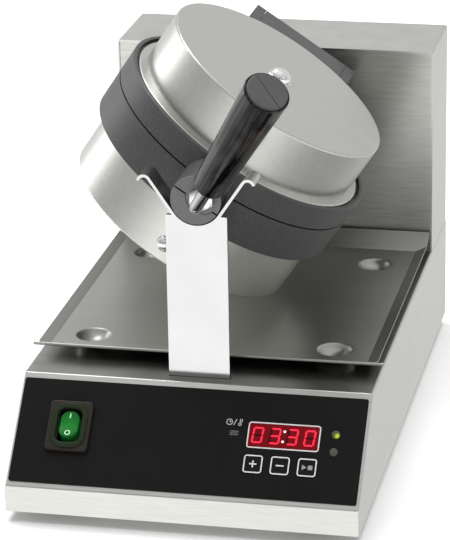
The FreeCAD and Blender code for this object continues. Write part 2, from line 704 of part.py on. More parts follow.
def yoke():
    """The carrier behind the drum: a web on the shaft's flange and two ears that hold the hinge pin."""
    half = SLAB_WIDTH / 2
    foot = -LOWER_RING_FOOT - YOKE_FOOT
    ear_front = PIN_Y - BLOCK_FRONT
    pieces = [block((-half, half), (WEB_FRONT, WEB_REAR), (foot, YOKE_TOP))]
    for side in (-1, 1):
        sides = ((WEB_REAR, 0), (WEB_REAR, YOKE_TOP), (PIN_Y + BLOCK_REAR, SLAB_TOP), (ear_front, SLAB_TOP),
                 (ear_front, HINGE_RISE - PIN_RADIUS), (WEB_FRONT, 0))
        outline = [V(side * half, y, z) for y, z in sides]
        pieces.append(prism(outline, V(-side * EAR_THICK, 0, 0)))
    body = fused(pieces)
    holes = [rod(PIN_RADIUS, V(-half, PIN_Y, HINGE_RISE), V(half, PIN_Y, HINGE_RISE)),
             rod(SHAFT_BORE, V(0, WEB_FRONT, 0), V(0, WEB_REAR, 0))]
    plate_screws = []
    for x in (-PLATE_SCREW_SPACING / 2, PLATE_SCREW_SPACING / 2):
        seat = V(x, WEB_REAR, -PLATE_SCREW_DROP)
        tip = V(x, WEB_FRONT - PLATE_SCREW_BITE, -PLATE_SCREW_DROP)
        holes.append(rod(BLOCK_SCREW_SHANK, V(x, WEB_FRONT, -PLATE_SCREW_DROP), seat))
        plate_screws.append(screw(BLOCK_SCREW_SHANK, BLOCK_SCREW_HEAD, BLOCK_SCREW_HEAD, seat, tip))
    for x, z in flange_screw_places():
        holes.append(rod(FLANGE_SCREW_SHANK, V(x, WEB_REAR - FLANGE_SCREW_BITE, z), V(x, WEB_REAR, z)))
    return {
        "carrier_yoke": body.cut(holes),
        "hinge_pin": rod(PIN_RADIUS, V(-half, PIN_Y, HINGE_RISE), V(half, PIN_Y, HINGE_RISE)),
        "plate_screws": group(plate_screws),
    }


def flange_screw_places():
    """Where the screws of the shaft's flange sit round the axis."""
    return [(FLANGE_SCREW_CIRCLE * math.cos(math.radians(45 + 90 * k)),
             FLANGE_SCREW_CIRCLE * math.sin(math.radians(45 + 90 * k))) for k in range(4)]


def main_shaft():
    """The hollow shaft with its flange and flange screws, and the cam with its collar on the rear end."""
    body = fused([rod(SHAFT_FLANGE_RADIUS, V(0, WEB_REAR, 0), V(0, FLANGE_REAR, 0)),
                  rod(SHAFT_RADIUS, V(0, FLANGE_REAR, 0), V(0, SHAFT_END, 0))])
    holes = [rod(SHAFT_BORE, V(0, WEB_REAR, 0), V(0, SHAFT_END, 0))]
    screws = []
    for x, z in flange_screw_places():
        seat = V(x, FLANGE_REAR - FLANGE_SCREW_HEAD_HEIGHT, z)
        tip = V(x, WEB_REAR - FLANGE_SCREW_BITE, z)
        holes.append(rod(FLANGE_SCREW_SHANK, V(x, WEB_REAR, z), seat))
        holes.append(rod(FLANGE_SCREW_HEAD, seat, V(x, FLANGE_REAR, z)))
        screws.append(screw(FLANGE_SCREW_SHANK, FLANGE_SCREW_HEAD - SEAT_GAP,
                            FLANGE_SCREW_HEAD_HEIGHT - SEAT_GAP, seat, tip))
    bore = rod(SHAFT_RADIUS, V(0, CAM_FRONT, 0), V(0, SHAFT_END, 0))
    lobe = [V(0, CAM_FRONT, 0)]
    for side in (-1, 1):
        angle = math.radians(CAM_LOBE_ANGLE + side * CAM_LOBE_HALF_ANGLE)
        lobe.append(V(CAM_LOBE_RADIUS * math.sin(angle), CAM_FRONT, CAM_LOBE_RADIUS * math.cos(angle)))
    cam = fused([rod(CAM_RADIUS, V(0, CAM_FRONT, 0), V(0, CAM_REAR, 0)), prism(lobe, V(0, CAM_THICK, 0))])
    collar = rod(SHAFT_RADIUS + SHAFT_COLLAR_WALL, V(0, CAM_REAR, 0), V(0, SHAFT_END, 0))
    return {"main_shaft": body.cut(holes), "flange_screws": group(screws),
            "stop_cam": fused([cam, collar]).cut(bore)}


def bearing():
    """The bearing block in the tower with its two flanged bushes, its screws and the stop pins."""
    half = BLOCK_WIDTH / 2
    bush_radius = SHAFT_RADIUS + BEARING_BUSH_WALL
    core = block((-half, half), (BEARING_FRONT, BEARING_REAR),
                 (AXIS_Z - BEARING_HALF_HEIGHT, AXIS_Z + BEARING_HALF_HEIGHT))
    axis = V(0, 0, AXIS_Z)
    front, rear = axis + V(0, BEARING_FRONT, 0), axis + V(0, BEARING_REAR, 0)
    holes = [rod(SHAFT_RADIUS + BEARING_BUSH_WALL / 2, front, rear)]
    bushes = []
    for face, inward in ((BEARING_FRONT, 1), (BEARING_REAR, -1)):
        inner = axis + V(0, face + inward * BEARING_BUSH_LENGTH, 0)
        outer = axis + V(0, face - inward * BUSH_FLANGE, 0)
        seat = axis + V(0, face, 0)
        holes.append(rod(bush_radius, inner, seat))
        bush = fused([rod(bush_radius, inner, seat), rod(BUSH_FLANGE_RADIUS, seat, outer)])
        bushes.append(bush.cut(rod(SHAFT_RADIUS + RUN_FIT, inner, outer)))
    screws = []
    for x, z in bearing_screw_places():
        seat = V(x, BEARING_FRONT - SHEET, z)
        tip = V(x, BEARING_FRONT + BEARING_BUSH_LENGTH, z)
        holes.append(rod(BEARING_SCREW_SHANK, V(x, BEARING_FRONT, z), tip))
        screws.append(screw(BEARING_SCREW_SHANK, BEARING_SCREW_HEAD, TOWER_RECESS, seat, tip))
    pins = []
    edge = CAM_LOBE_HALF_ANGLE + math.degrees(math.asin(STOP_RADIUS / STOP_CIRCLE)) + STOP_PLAY
    for angle in (CAM_LOBE_ANGLE - edge, CAM_LOBE_ANGLE + TURN_RANGE + edge):
        x = STOP_CIRCLE * math.sin(math.radians(angle))
        z = AXIS_Z + STOP_CIRCLE * math.cos(math.radians(angle))
        root = V(x, BEARING_REAR - STOP_ROOT, z)
        holes.append(rod(STOP_RADIUS, root, V(x, BEARING_REAR, z)))
        pins.append(rod(STOP_RADIUS, root, V(x, CAM_REAR, z)))
    return {"bearing_block": core.cut(holes), "shaft_bushes": group(bushes), "bearing_screws": group(screws),
            "stop_pins": group(pins)}


def bearing_screw_places():
    """Where the bearing block's screws sit on the tower's front panel."""
    x = BLOCK_WIDTH / 2 - BEARING_SCREW_INSET
    z = BEARING_HALF_HEIGHT - BEARING_SCREW_INSET
    return [(sx * x, AXIS_Z + sz * z) for sx in (-1, 1) for sz in (-1, 1)]


def sector(centre, inner, outer, start, end, depth):
    """A curved strip round a centre in the XZ plane, between two angles counted from +X towards +Z."""
    def at(radius, angle):
        return centre + V(radius * math.cos(math.radians(angle)), 0, radius * math.sin(math.radians(angle)))

    middle = (start + end) / 2
    edges = [Part.Arc(at(outer, start), at(outer, middle), at(outer, end)).toShape(),
             Part.makeLine(at(outer, end), at(inner, end)),
             Part.Arc(at(inner, end), at(inner, middle), at(inner, start)).toShape(),
             Part.makeLine(at(inner, start), at(outer, start))]
    return Part.Face(Part.Wire(edges)).extrude(V(0, depth, 0))


def saddle():
    """The bent strip under the front hub, with arms that lean out and curled tips."""
    lean = SADDLE_ARM_ANGLE
    axis = V(0, PLATE_FRONT, AXIS_Z)
    bend = [sector(axis, SADDLE_INNER, SADDLE_OUTER, -180 + lean, -lean, SADDLE_DEPTH)]
    for side in (-1, 1):
        tilt = math.radians(lean)
        along = V(side * math.sin(tilt), 0, math.cos(tilt))
        outward = V(side * math.cos(tilt), 0, -math.sin(tilt))
        foot = axis + outward * SADDLE_INNER
        outline = [foot, foot + along * SADDLE_ARM, foot + along * SADDLE_ARM + outward * SADDLE_THICK,
                   foot + outward * SADDLE_THICK]
        bend.append(prism(outline, V(0, SADDLE_DEPTH, 0)))
        centre = foot + along * SADDLE_ARM + outward * (SADDLE_THICK + CURL_RADIUS)
        begin = 180 - lean if side > 0 else lean
        bend.append(sector(centre, CURL_RADIUS, CURL_RADIUS + SADDLE_THICK, begin, begin - side * CURL_TURN,
                           SADDLE_DEPTH))
    return fused(bend)


def front_support():
    """The upright plate with its saddle, and the bracket and screws under the base top."""
    half = PLATE_WIDTH / 2
    head = AXIS_Z - SADDLE_OUTER + PLATE_RISE
    tail = BASE_TOP - PLATE_TAIL
    rear = PLATE_FRONT + PLATE_THICK
    shoulder = head - PLATE_CHAMFER
    corners = [(-half, tail), (half, tail), (half, shoulder), (half - PLATE_CHAMFER, head),
               (PLATE_CHAMFER - half, head), (-half, shoulder)]
    plate = prism([V(x, PLATE_FRONT, z) for x, z in corners], V(0, PLATE_THICK, 0))
    axis = V(0, PLATE_FRONT, AXIS_Z)
    plate = plate.cut(rod(SADDLE_OUTER, axis, axis + V(0, PLATE_THICK, 0)))
    lean = math.radians(SADDLE_ARM_ANGLE)
    outward = V(math.cos(lean), 0, -math.sin(lean))
    along = V(math.sin(lean), 0, math.cos(lean))
    wedge = [axis, axis + outward * SADDLE_OUTER, axis + outward * SADDLE_OUTER + along * SADDLE_ARM]
    mirrored = [V(-p.x, p.y, p.z) for p in wedge]
    plate = plate.cut([prism(wedge, V(0, PLATE_THICK, 0)), prism(mirrored, V(0, PLATE_THICK, 0))])
    under = BASE_TOP - SHEET
    bracket = fused([block((-half, half), (rear, rear + BRACKET_THICK), (under - BRACKET_LEG, under)),
                     block((-half, half), (rear, rear + BRACKET_LEG), (under - BRACKET_THICK, under))])
    screws = []
    holes = []
    for x in (-SUPPORT_SCREW_SPACING / 2, SUPPORT_SCREW_SPACING / 2):
        seat = V(x, PLATE_FRONT, BASE_TOP - SUPPORT_SCREW_DROP)
        tip = seat + V(0, PLATE_THICK + BRACKET_THICK, 0)
        holes.append(rod(SUPPORT_SCREW_SHANK, seat, tip))
        screws.append(screw(SUPPORT_SCREW_SHANK, SUPPORT_SCREW_HEAD, SUPPORT_SCREW_HEAD_HEIGHT, seat, tip))
    return {"support_plate": plate.cut(holes), "saddle": saddle(), "support_bracket": bracket.cut(holes),
            "support_screws": group(screws)}


def panel_window(play):
    """The opening in the slope round the display, the keys' flanges and the lamps that pass it."""
    passing = [(HALF_WIDTH - DISPLAY_FROM_EDGE, DISPLAY_UP, DISPLAY_WIDTH / 2, DISPLAY_HEIGHT / 2)]
    flange = KEY_SIZE / 2 + KEY_FLANGE
    passing += [(x, KEY_UP, flange, flange) for x in key_places().values()]
    passing += [(x, y, LAMP_RADIUS, LAMP_RADIUS) for x, y in lamp_places().values()]
    margin = PANEL_WINDOW_MARGIN
    across = (min(x - wide for x, y, wide, high in passing) - margin,
              max(x + wide for x, y, wide, high in passing) + margin)
    along = (min(y - high for x, y, wide, high in passing) - margin,
             max(y + high for x, y, wide, high in passing) + margin)
    return block(across, along, (-play, play))


def switch_hole(play, low, high):
    """A rectangular hole for the body of the rocker switch."""
    half_x = ROCKER_WIDTH / 2 + KEY_GAP + SWITCH_WALL + play
    half_y = ROCKER_RADIUS + KEY_GAP + SWITCH_WALL + play
    x = SWITCH_FROM_EDGE - HALF_WIDTH
    return block((x - half_x, x + half_x), (SWITCH_UP - half_y, SWITCH_UP + half_y), (low, high))


def base_shell():
    """The folded base: lip, slope, top, back and sides, open below, with flanges for the bottom plate."""
    def section(inset, foot):
        slope_drop = inset / math.cos(math.radians(PANEL_ANGLE))
        rise = math.tan(math.radians(PANEL_ANGLE))
        front, back, top = BASE_FRONT + inset, TOWER_BACK - inset, BASE_TOP - inset
        lip = BASE_FOOT + LIP_HEIGHT + inset * rise - slope_drop
        head_y = BASE_FRONT + (top - BASE_FOOT - LIP_HEIGHT + slope_drop) / rise
        half = HALF_WIDTH - inset
        outline = [V(-half, front, foot), V(-half, front, lip), V(-half, head_y, top), V(-half, back, top),
                   V(-half, back, foot)]
        return prism(outline, V(2 * half, 0, 0))

    outside = section(0, BASE_FOOT)
    folds = [e for e in outside.Edges
             if e.BoundBox.ZMax > BASE_FOOT + NEAR and e.BoundBox.YMin < TOWER_BACK - NEAR]
    shell = outside.makeFillet(FOLD_RADIUS, folds).cut(section(SHEET, BASE_FOOT - SHEET))
    inner = HALF_WIDTH - SHEET
    low = BASE_FOOT + BOTTOM_SHEET
    flanges = [block((side * inner, side * (inner - FLANGE_WIDTH)), (BASE_FRONT + SHEET, TOWER_BACK - SHEET),
                     (low, low + SHEET)) for side in (-1, 1)]
    slot_half = PLATE_WIDTH / 2 + SLOT_GAP
    wire_y = (TOWER_FRONT + TOWER_BACK) / 2
    gland = gland_axis()
    under = BASE_TOP - SHEET
    wire_half = WIRE_WINDOW_DEPTH / 2
    holes = [on_panel(panel_window(2 * SHEET)), on_panel(switch_hole(SHEET_GAP, -2 * SHEET, SHEET)),
             block((-slot_half, slot_half), (PLATE_FRONT - SLOT_GAP, PLATE_FRONT + PLATE_THICK),
                   (under, BASE_TOP)),
             block((-WIRE_WINDOW_WIDTH / 2, WIRE_WINDOW_WIDTH / 2), (wire_y - wire_half, wire_y + wire_half),
                   (under, BASE_TOP)),
             rod(GLAND_RADIUS, gland - V(0, SHEET, 0), gland)]
    holes += [rod(SMALL_SCREW_SHANK, V(x, y, low), V(x, y, low + SHEET)) for x, y in bottom_screw_places()]
    holes += [rod(SMALL_SCREW_SHANK, V(x, y, under), V(x, y, BASE_TOP)) for x, y in tower_screw_places()]
    return fused([shell] + flanges).cut(holes)


def bottom_screw_places():
    """Where the screws of the bottom plate sit."""
    x = HALF_WIDTH - SHEET - FLANGE_WIDTH / 2
    ends = (BASE_FRONT + SMALL_SCREW_INSET, (BASE_FRONT + TOWER_BACK) / 2, TOWER_BACK - SMALL_SCREW_INSET)
    return [(side * x, y) for side in (-1, 1) for y in ends]


def tower_screw_places():
    """Where the screws of the tower's side flanges sit."""
    x = TOWER_HALF - SHEET - FLANGE_WIDTH / 2
    ends = (TOWER_FRONT + SMALL_SCREW_INSET, TOWER_BACK - SMALL_SCREW_INSET)
    return [(side * x, y) for side in (-1, 1) for y in ends]


def cover_screw_places():
    """Where the screws of the tower's back cover sit."""
    x = TOWER_HALF - SHEET - FLANGE_WIDTH / 2
    ends = (BASE_TOP + SMALL_SCREW_INSET, TOWER_TOP - SMALL_SCREW_INSET)
    return [(side * x, z) for side in (-1, 1) for z in ends]


def foot_places():
    """Where the four feet stand."""
    x = HALF_WIDTH - FOOT_INSET
    return [(side * x, y) for side in (-1, 1) for y in (BASE_FRONT + FOOT_INSET, TOWER_BACK - FOOT_INSET)]


def small_screw(seat, out):
    """A small pan-head screw whose head stands out from its seat."""
    tip = seat - out * SMALL_SCREW_LENGTH
    return screw(SMALL_SCREW_SHANK, SMALL_SCREW_HEAD, SMALL_SCREW_HEAD_HEIGHT, seat, tip)


def sheet_screws():
    """The small screws of the bottom plate, of the tower's flanges and of its back cover."""
    screws = [small_screw(V(x, y, BASE_FOOT), V(0, 0, -1)) for x, y in bottom_screw_places()]
    screws += [small_screw(V(x, y, BASE_TOP - SHEET), V(0, 0, -1)) for x, y in tower_screw_places()]
    screws += [small_screw(V(x, TOWER_BACK, z), V(0, 1, 0)) for x, z in cover_screw_places()]
    return group(screws)


def bottom():
    """The bottom plate with vents and weld nuts, and the feet with their screws."""
    half = HALF_WIDTH - SHEET - SHEET_GAP
    top = BASE_FOOT + BOTTOM_SHEET
    inset = SHEET + SHEET_GAP
    plate = block((-half, half), (BASE_FRONT + inset, TOWER_BACK - inset), (BASE_FOOT, top))
    nuts = [rod(WELD_NUT_RADIUS, V(x, y, top), V(x, y, top + WELD_NUT_HEIGHT)) for x, y in foot_places()]
    holes = bottom_vents(BASE_FOOT, top)
    holes += [rod(SMALL_SCREW_SHANK, V(x, y, BASE_FOOT), V(x, y, top)) for x, y in bottom_screw_places()]
    feet = []
    foot_screws = []
    for x, y in foot_places():
        seat = V(x, y, FOOT_SCREW_RECESS)
        tip = V(x, y, top + WELD_NUT_HEIGHT)
        holes.append(rod(FOOT_SCREW_SHANK, V(x, y, BASE_FOOT), tip))
        foot = cone(FOOT_RADIUS - FOOT_TAPER, FOOT_RADIUS, V(x, y, 0), V(x, y, FOOT_HEIGHT))
        feet.append(foot.cut([rod(FOOT_SCREW_HEAD + SEAT_GAP, V(x, y, 0), seat),
                              rod(FOOT_SCREW_SHANK, seat, V(x, y, FOOT_HEIGHT))]))
        foot_screws.append(screw(FOOT_SCREW_SHANK, FOOT_SCREW_HEAD, FOOT_SCREW_HEAD_HEIGHT, seat, tip))
    return {"bottom_plate": fused([plate] + nuts).cut(holes), "rubber_feet": group(feet),
            "foot_screws": group(foot_screws)}


def tower():
    """The tower: side-and-top wrap, front panel and back cover."""
    side_in = TOWER_HALF - SHEET
    roof = TOWER_TOP - SHEET
    wrap = block((-TOWER_HALF, TOWER_HALF), (TOWER_FRONT, TOWER_BACK), (BASE_TOP, TOWER_TOP))
    crown = [e for e in wrap.Edges if e.BoundBox.ZMin > TOWER_TOP - NEAR and e.BoundBox.XLength < NEAR]
    wrap = wrap.makeFillet(FOLD_RADIUS, crown)
    wrap = wrap.cut(block((-side_in, side_in), (TOWER_FRONT, TOWER_BACK), (BASE_TOP, roof)))
    front_y = TOWER_FRONT + TOWER_RECESS
    plate_rear = front_y + SHEET
    floor_y = (plate_rear + SHEET_GAP, TOWER_BACK - 2 * SHEET - SHEET_GAP)
    floor = [block((side * side_in, side * (side_in - FLANGE_WIDTH)), floor_y, (BASE_TOP, BASE_TOP + SHEET))
             for side in (-1, 1)]
    returns = [block((side * side_in, side * (side_in - FLANGE_WIDTH)),
                     (TOWER_BACK - 2 * SHEET, TOWER_BACK - SHEET), (BASE_TOP, roof)) for side in (-1, 1)]
    panel_half = side_in - SHEET_GAP / 2
    front = block((-panel_half, panel_half), (front_y, plate_rear), (BASE_TOP, roof - SHEET_GAP / 2))
    folds = [block((side * panel_half, side * (panel_half - SHEET)), (front_y, plate_rear + FLANGE_WIDTH),
                   (BASE_TOP + SHEET + SHEET_GAP, roof - SHEET_GAP / 2)) for side in (-1, 1)]
    front_holes = [rod(BUSH_FLANGE_RADIUS + SHEET_GAP, V(0, front_y, AXIS_Z), V(0, plate_rear, AXIS_Z))]
    front_holes += [rod(BEARING_SCREW_SHANK, V(x, front_y, z), V(x, plate_rear, z))
                    for x, z in bearing_screw_places()]
    cover_y = (TOWER_BACK - SHEET, TOWER_BACK)
    back = block((-panel_half, panel_half), cover_y, (BASE_TOP, roof - SHEET_GAP / 2))
    middle = (BASE_TOP + TOWER_TOP) / 2
    vents = []
    for k in range(VENT_COUNT):
        z = middle + (k - VENT_COUNT / 2) * VENT_PITCH
        vents.append(block((-VENT_LENGTH / 2, VENT_LENGTH / 2), cover_y, (z, z + VENT_WIDTH)))
    return_holes = [rod(SMALL_SCREW_SHANK, V(x, TOWER_BACK - 2 * SHEET, z), V(x, TOWER_BACK, z))
                    for x, z in cover_screw_places()]
    floor_holes = [rod(SMALL_SCREW_SHANK, V(x, y, BASE_TOP), V(x, y, BASE_TOP + SHEET))
                   for x, y in tower_screw_places()]
    return {"tower_wrap": fused([wrap] + floor + returns).cut(return_holes + floor_holes),
            "tower_front": fused([front] + folds).cut(front_holes),
            "tower_back": back.cut(vents + return_holes)}


def key_places():
    """Centres of the three keys on the slope."""
    x = HALF_WIDTH - DISPLAY_FROM_EDGE
    return {"key_plus": x - KEY_PITCH, "key_minus": x, "key_start": x + KEY_PITCH}


def lamp_places():
    """Centres of the upper and the lower lamp on the slope."""
    x = HALF_WIDTH - LAMP_FROM_EDGE
    return {"lamp_upper": (x, LAMP_UP + LAMP_SPACING / 2), "lamp_lower": (x, LAMP_UP - LAMP_SPACING / 2)}


def control_panel():
    """The black fascia with display, lamps and keys, and the board that carries them."""
    foot, head = FASCIA_FOOT, PANEL_LENGTH - FASCIA_HEAD
    fascia = rounded_plate(2 * (HALF_WIDTH - FASCIA_SIDE), head - foot, FASCIA_THICK, FASCIA_CORNER)
    fascia = moved(fascia, 0, (foot + head) / 2, 0)
    display_x = HALF_WIDTH - DISPLAY_FROM_EDGE
    half_x, half_y = DISPLAY_WIDTH / 2, DISPLAY_HEIGHT / 2
    through = (0, FASCIA_THICK)

    def display_area(inset):
        return ((display_x - half_x + inset, display_x + half_x - inset),
                (DISPLAY_UP - half_y + inset, DISPLAY_UP + half_y - inset))

    holes = [block(*display_area(0), through), switch_hole(SHEET_GAP, *through)]
    pane_sides = display_area(DISPLAY_GAP)
    window = block(*pane_sides, (-WINDOW_SINK, FASCIA_THICK))
    board_top = -WINDOW_SINK - MODULE_DEPTH
    module = block(*pane_sides, (board_top, -WINDOW_SINK))
    board_x = HALF_WIDTH - BOARD_FROM_EDGE
    board_sides = ((board_x - BOARD_WIDTH / 2, board_x + BOARD_WIDTH / 2),
                   (BOARD_UP - BOARD_HEIGHT / 2, BOARD_UP + BOARD_HEIGHT / 2))
    board = block(*board_sides, (board_top - BOARD_THICK, board_top))
    posts = []
    for sx in (-1, 1):
        for sy in (-1, 1):
            x = board_x + sx * (BOARD_WIDTH / 2 - STANDOFF_INSET)
            y = BOARD_UP + sy * (BOARD_HEIGHT / 2 - STANDOFF_INSET)
            posts.append(rod(STANDOFF_RADIUS, V(x, y, board_top), V(x, y, -SHEET)))
    nodes = {"display_window": window, "display_module": module, "control_board": board,
             "board_standoffs": group(posts)}
    for name, (x, y) in lamp_places().items():
        tip = FASCIA_THICK + LAMP_PROUD
        lamp = rod(LAMP_RADIUS, V(x, y, board_top), V(x, y, tip))
        rim = [e for e in lamp.Edges if e.BoundBox.ZMin > tip - NEAR]
        nodes[name] = lamp.makeFillet(LAMP_DOME, rim)
        holes.append(rod(LAMP_RADIUS + DISPLAY_GAP, V(x, y, 0), V(x, y, FASCIA_THICK)))
    switches = []
    flange = KEY_SIZE + 2 * KEY_FLANGE
    skirt_foot = -KEY_GAP - KEY_FLANGE_THICK
    stem_foot = skirt_foot - KEY_STEM
    plunger = stem_foot - KEY_TRAVEL - SEAT_GAP
    switch_top = plunger - PLUNGER_HEIGHT
    half = KEY_SWITCH_SIZE / 2
    for name, x in key_places().items():
        cap = rounded_plate(KEY_SIZE, KEY_SIZE, KEY_GAP + FASCIA_THICK + KEY_PROUD, KEY_CORNER)
        skirt = rounded_plate(flange, flange, KEY_FLANGE_THICK, KEY_CORNER)
        nodes[name] = fused([moved(cap, x, KEY_UP, -KEY_GAP), moved(skirt, x, KEY_UP, skirt_foot),
                             rod(KEY_STEM_RADIUS, V(x, KEY_UP, stem_foot), V(x, KEY_UP, skirt_foot))])
        hole = rounded_plate(KEY_SIZE + 2 * KEY_GAP, KEY_SIZE + 2 * KEY_GAP, FASCIA_THICK, KEY_CORNER)
        holes.append(moved(hole, x, KEY_UP, 0))
        case = block((x - half, x + half), (KEY_UP - half, KEY_UP + half), (board_top, switch_top))
        switches.append(fused([case, rod(PLUNGER_RADIUS, V(x, KEY_UP, switch_top), V(x, KEY_UP, plunger))]))
    nodes["key_switches"] = group(switches)
    nodes["control_fascia"] = fascia.cut(holes)
    return nodes


def rocker_switch():
    """The rocker, its bezel on the fascia and the body behind it."""
    x, y = SWITCH_FROM_EDGE - HALF_WIDTH, SWITCH_UP
    half_x, half_y = ROCKER_WIDTH / 2 + KEY_GAP, ROCKER_RADIUS + KEY_GAP
    well = block((x - half_x, x + half_x), (y - half_y, y + half_y),
                 (-ROCKER_PIVOT_SINK - SWITCH_FLOOR, FASCIA_THICK))
    mouth = rounded_plate(ROCKER_WIDTH + 2 * BEZEL_PLAY, 2 * ROCKER_RADIUS, BEZEL_THICK,
                          ROCKER_CORNER - BEZEL_PLAY)
    bezel = moved(rounded_plate(BEZEL_WIDTH, BEZEL_HEIGHT, BEZEL_THICK, BEZEL_CORNER), x, y, FASCIA_THICK)
    rim = [e for e in bezel.Edges if e.BoundBox.ZMin > FASCIA_THICK + BEZEL_THICK - NEAR]
    bezel = bezel.makeFillet(BEZEL_EDGE, rim)
    pivot = V(x, y, -ROCKER_PIVOT_SINK)
    body = switch_hole(0, -SWITCH_DEPTH, FASCIA_THICK)
    stub_end = V(ROCKER_WIDTH / 2 + ROCKER_STUB, 0, 0)
    bore_end = stub_end + V(RUN_FIT, 0, 0)
    bore = rod(ROCKER_STUB_RADIUS + RUN_FIT, pivot - bore_end, pivot + bore_end)
    barrel = rod(ROCKER_RADIUS, pivot - V(ROCKER_WIDTH / 2, 0, 0), pivot + V(ROCKER_WIDTH / 2, 0, 0))
    rise = ROCKER_CREST + ROCKER_RADIUS * math.tan(math.radians(ROCKER_SLOPE))
    left = pivot.x - ROCKER_WIDTH / 2
    profile = [V(left, pivot.y - ROCKER_RADIUS, pivot.z - ROCKER_KEEL),
               V(left, pivot.y + ROCKER_RADIUS, pivot.z - ROCKER_KEEL),
               V(left, pivot.y + ROCKER_RADIUS, pivot.z + rise), V(left, pivot.y, pivot.z + ROCKER_CREST),
               V(left, pivot.y - ROCKER_RADIUS, pivot.z + rise)]
    rounding = rounded_plate(ROCKER_WIDTH, 2 * ROCKER_RADIUS, 2 * ROCKER_RADIUS, ROCKER_CORNER)
    paddle = barrel.common(prism(profile, V(ROCKER_WIDTH, 0, 0)))
    paddle = paddle.common(moved(rounding, x, y, pivot.z - ROCKER_RADIUS))
    stubs = rod(ROCKER_STUB_RADIUS, pivot - stub_end, pivot + stub_end)
    paddle = fused([paddle, stubs])
    paddle.rotate(pivot, V(1, 0, 0), -ROCKER_SLOPE)
    return {"switch_bezel": bezel.cut(moved(mouth, x, y, FASCIA_THICK)),
            "switch_body": body.cut([well, bore]), "rocker": paddle}


def dish(rim, foot_radius, top, foot):
    """A round pressing: a small bend at its rim, then a bowl down to its flat foot."""
    run, drop = rim - foot_radius, top - foot
    turn = 2 * math.atan2(drop, run)
    bowl = run / math.sin(turn) - DIMPLE_RIM_BEND

    def on_wall(share, centre, bend):
        angle = turn * share
        return centre + V(bend * math.sin(angle), 0, -bend * math.cos(angle))

    rim_centre = V(rim, 0, top - DIMPLE_RIM_BEND)
    bowl_centre = V(foot_radius, 0, foot + bowl)
    upper = [on_wall(share, rim_centre, -DIMPLE_RIM_BEND) for share in (0, 0.5, 1)]
    lower = [on_wall(share, bowl_centre, bowl) for share in (1, 0.5, 0)]
    arcs = [Part.Arc(*points).toShape() for points in (upper, lower)]
    close = Part.makePolygon([lower[-1], V(0, 0, foot), V(0, 0, top), upper[0]])
    return Part.Face(Part.Wire(arcs + close.Edges)).revolve(V(0, 0, 0), V(0, 0, 1), 360)


def drip_tray():
    """The loose tray: floor, flared sides, sloping back, front hem and four pressed feet."""
    floor = BASE_TOP + TRAY_RISE
    front = PLATE_FRONT + PLATE_THICK + TRAY_FRONT_GAP
    back = TOWER_FRONT - TRAY_BACK_GAP - TRAY_BACK_RUN
    rear = back + TRAY_BACK_RUN
    half = HALF_WIDTH - TRAY_SIDE_MARGIN
    edge = half + TRAY_FLARE
    side_top = floor + TRAY_SIDE_HEIGHT
    back_top = floor + TRAY_BACK_HEIGHT
    high = back_top + TRAY_SHEET

    def over(lift):
        """The space over the sheet's lower or upper face, between its side and back edges."""
        level, side, slope = floor + lift, side_top + lift, back_top + lift
        across = [V(-edge, front, side), V(-half, front, level), V(half, front, level), V(edge, front, side),
                  V(edge, front, high + lift), V(-edge, front, high + lift)]
        along = [V(-edge, front, level), V(-edge, back, level), V(-edge, rear, slope),
                 V(-edge, rear, high + lift), V(-edge, front, high + lift)]
        return prism(across, V(0, rear - front, 0)).common(prism(along, V(2 * edge, 0, 0)))

    skin = over(0).cut(over(TRAY_SHEET))
    hem_half = HALF_WIDTH + HEM_OVERHANG
    hem_z = floor + HEM_RADIUS
    hem = rod(HEM_RADIUS, V(-hem_half, front, hem_z), V(hem_half, front, hem_z))
    feet = []
    holes = []
    for x in (DIMPLE_SIDE_INSET - half, half - DIMPLE_SIDE_INSET):
        for y in (front + DIMPLE_FRONT_INSET, back - DIMPLE_BACK_INSET):
            feet.append(moved(dish(DIMPLE_RADIUS, DIMPLE_FOOT_RADIUS, floor, BASE_TOP), x, y, 0))
            inner = dish(DIMPLE_RADIUS - TRAY_SHEET, DIMPLE_FOOT_RADIUS - TRAY_SHEET, floor + TRAY_SHEET,
                         BASE_TOP + TRAY_SHEET)
            holes.append(moved(inner, x, y, 0))
    return fused([skin, hem] + feet).cut(holes)


def gland_axis():
    """Where the cable gland passes the back of the base."""
    return V(HALF_WIDTH - GLAND_INSET, TOWER_BACK, BASE_FOOT + GLAND_UP)


def mains_parts():
    """Terminal block and relay on the bottom plate, and the cable gland in the back."""
    floor = BASE_FOOT + BOTTOM_SHEET
    gland = gland_axis()

    def on_floor(x, width, depth, height):
        return moved(Part.makeBox(width, depth, height), x - width / 2, TOWER_FRONT - depth / 2, floor)

    top = floor + TERMINALS_HEIGHT
    wells = []
    for k in (-1, 0, 1):
        seat = V(gland.x + k * TERMINAL_PITCH, TOWER_FRONT, top)
        wells.append(rod(SMALL_SCREW_HEAD, seat - V(0, 0, SMALL_SCREW_HEAD), seat))
    terminals = on_floor(gland.x, TERMINALS_WIDTH, TERMINALS_DEPTH, TERMINALS_HEIGHT).cut(wells)
    relay = on_floor(-gland.x, RELAY_WIDTH, RELAY_DEPTH, RELAY_HEIGHT)
    inner = gland - V(0, SHEET, 0)
    end = inner - V(0, GLAND_SNAP_LENGTH, 0)
    body = fused([rod(GLAND_RADIUS, inner, gland), rod(GLAND_RADIUS + GLAND_SNAP, end, inner),
                  hex_bar(GLAND_HEX_FLATS, gland, gland + V(0, GLAND_HEX_HEIGHT, 0)),
                  cone(GLAND_DOME_RADIUS, GLAND_TIP_RADIUS, gland + V(0, GLAND_HEX_HEIGHT, 0),
                       gland + V(0, GLAND_LENGTH, 0))])
    bore = rod(GLAND_BORE, end, gland + V(0, GLAND_LENGTH, 0))
    return {"terminal_block": terminals, "relay": relay, "cable_gland": body.cut(bore)}


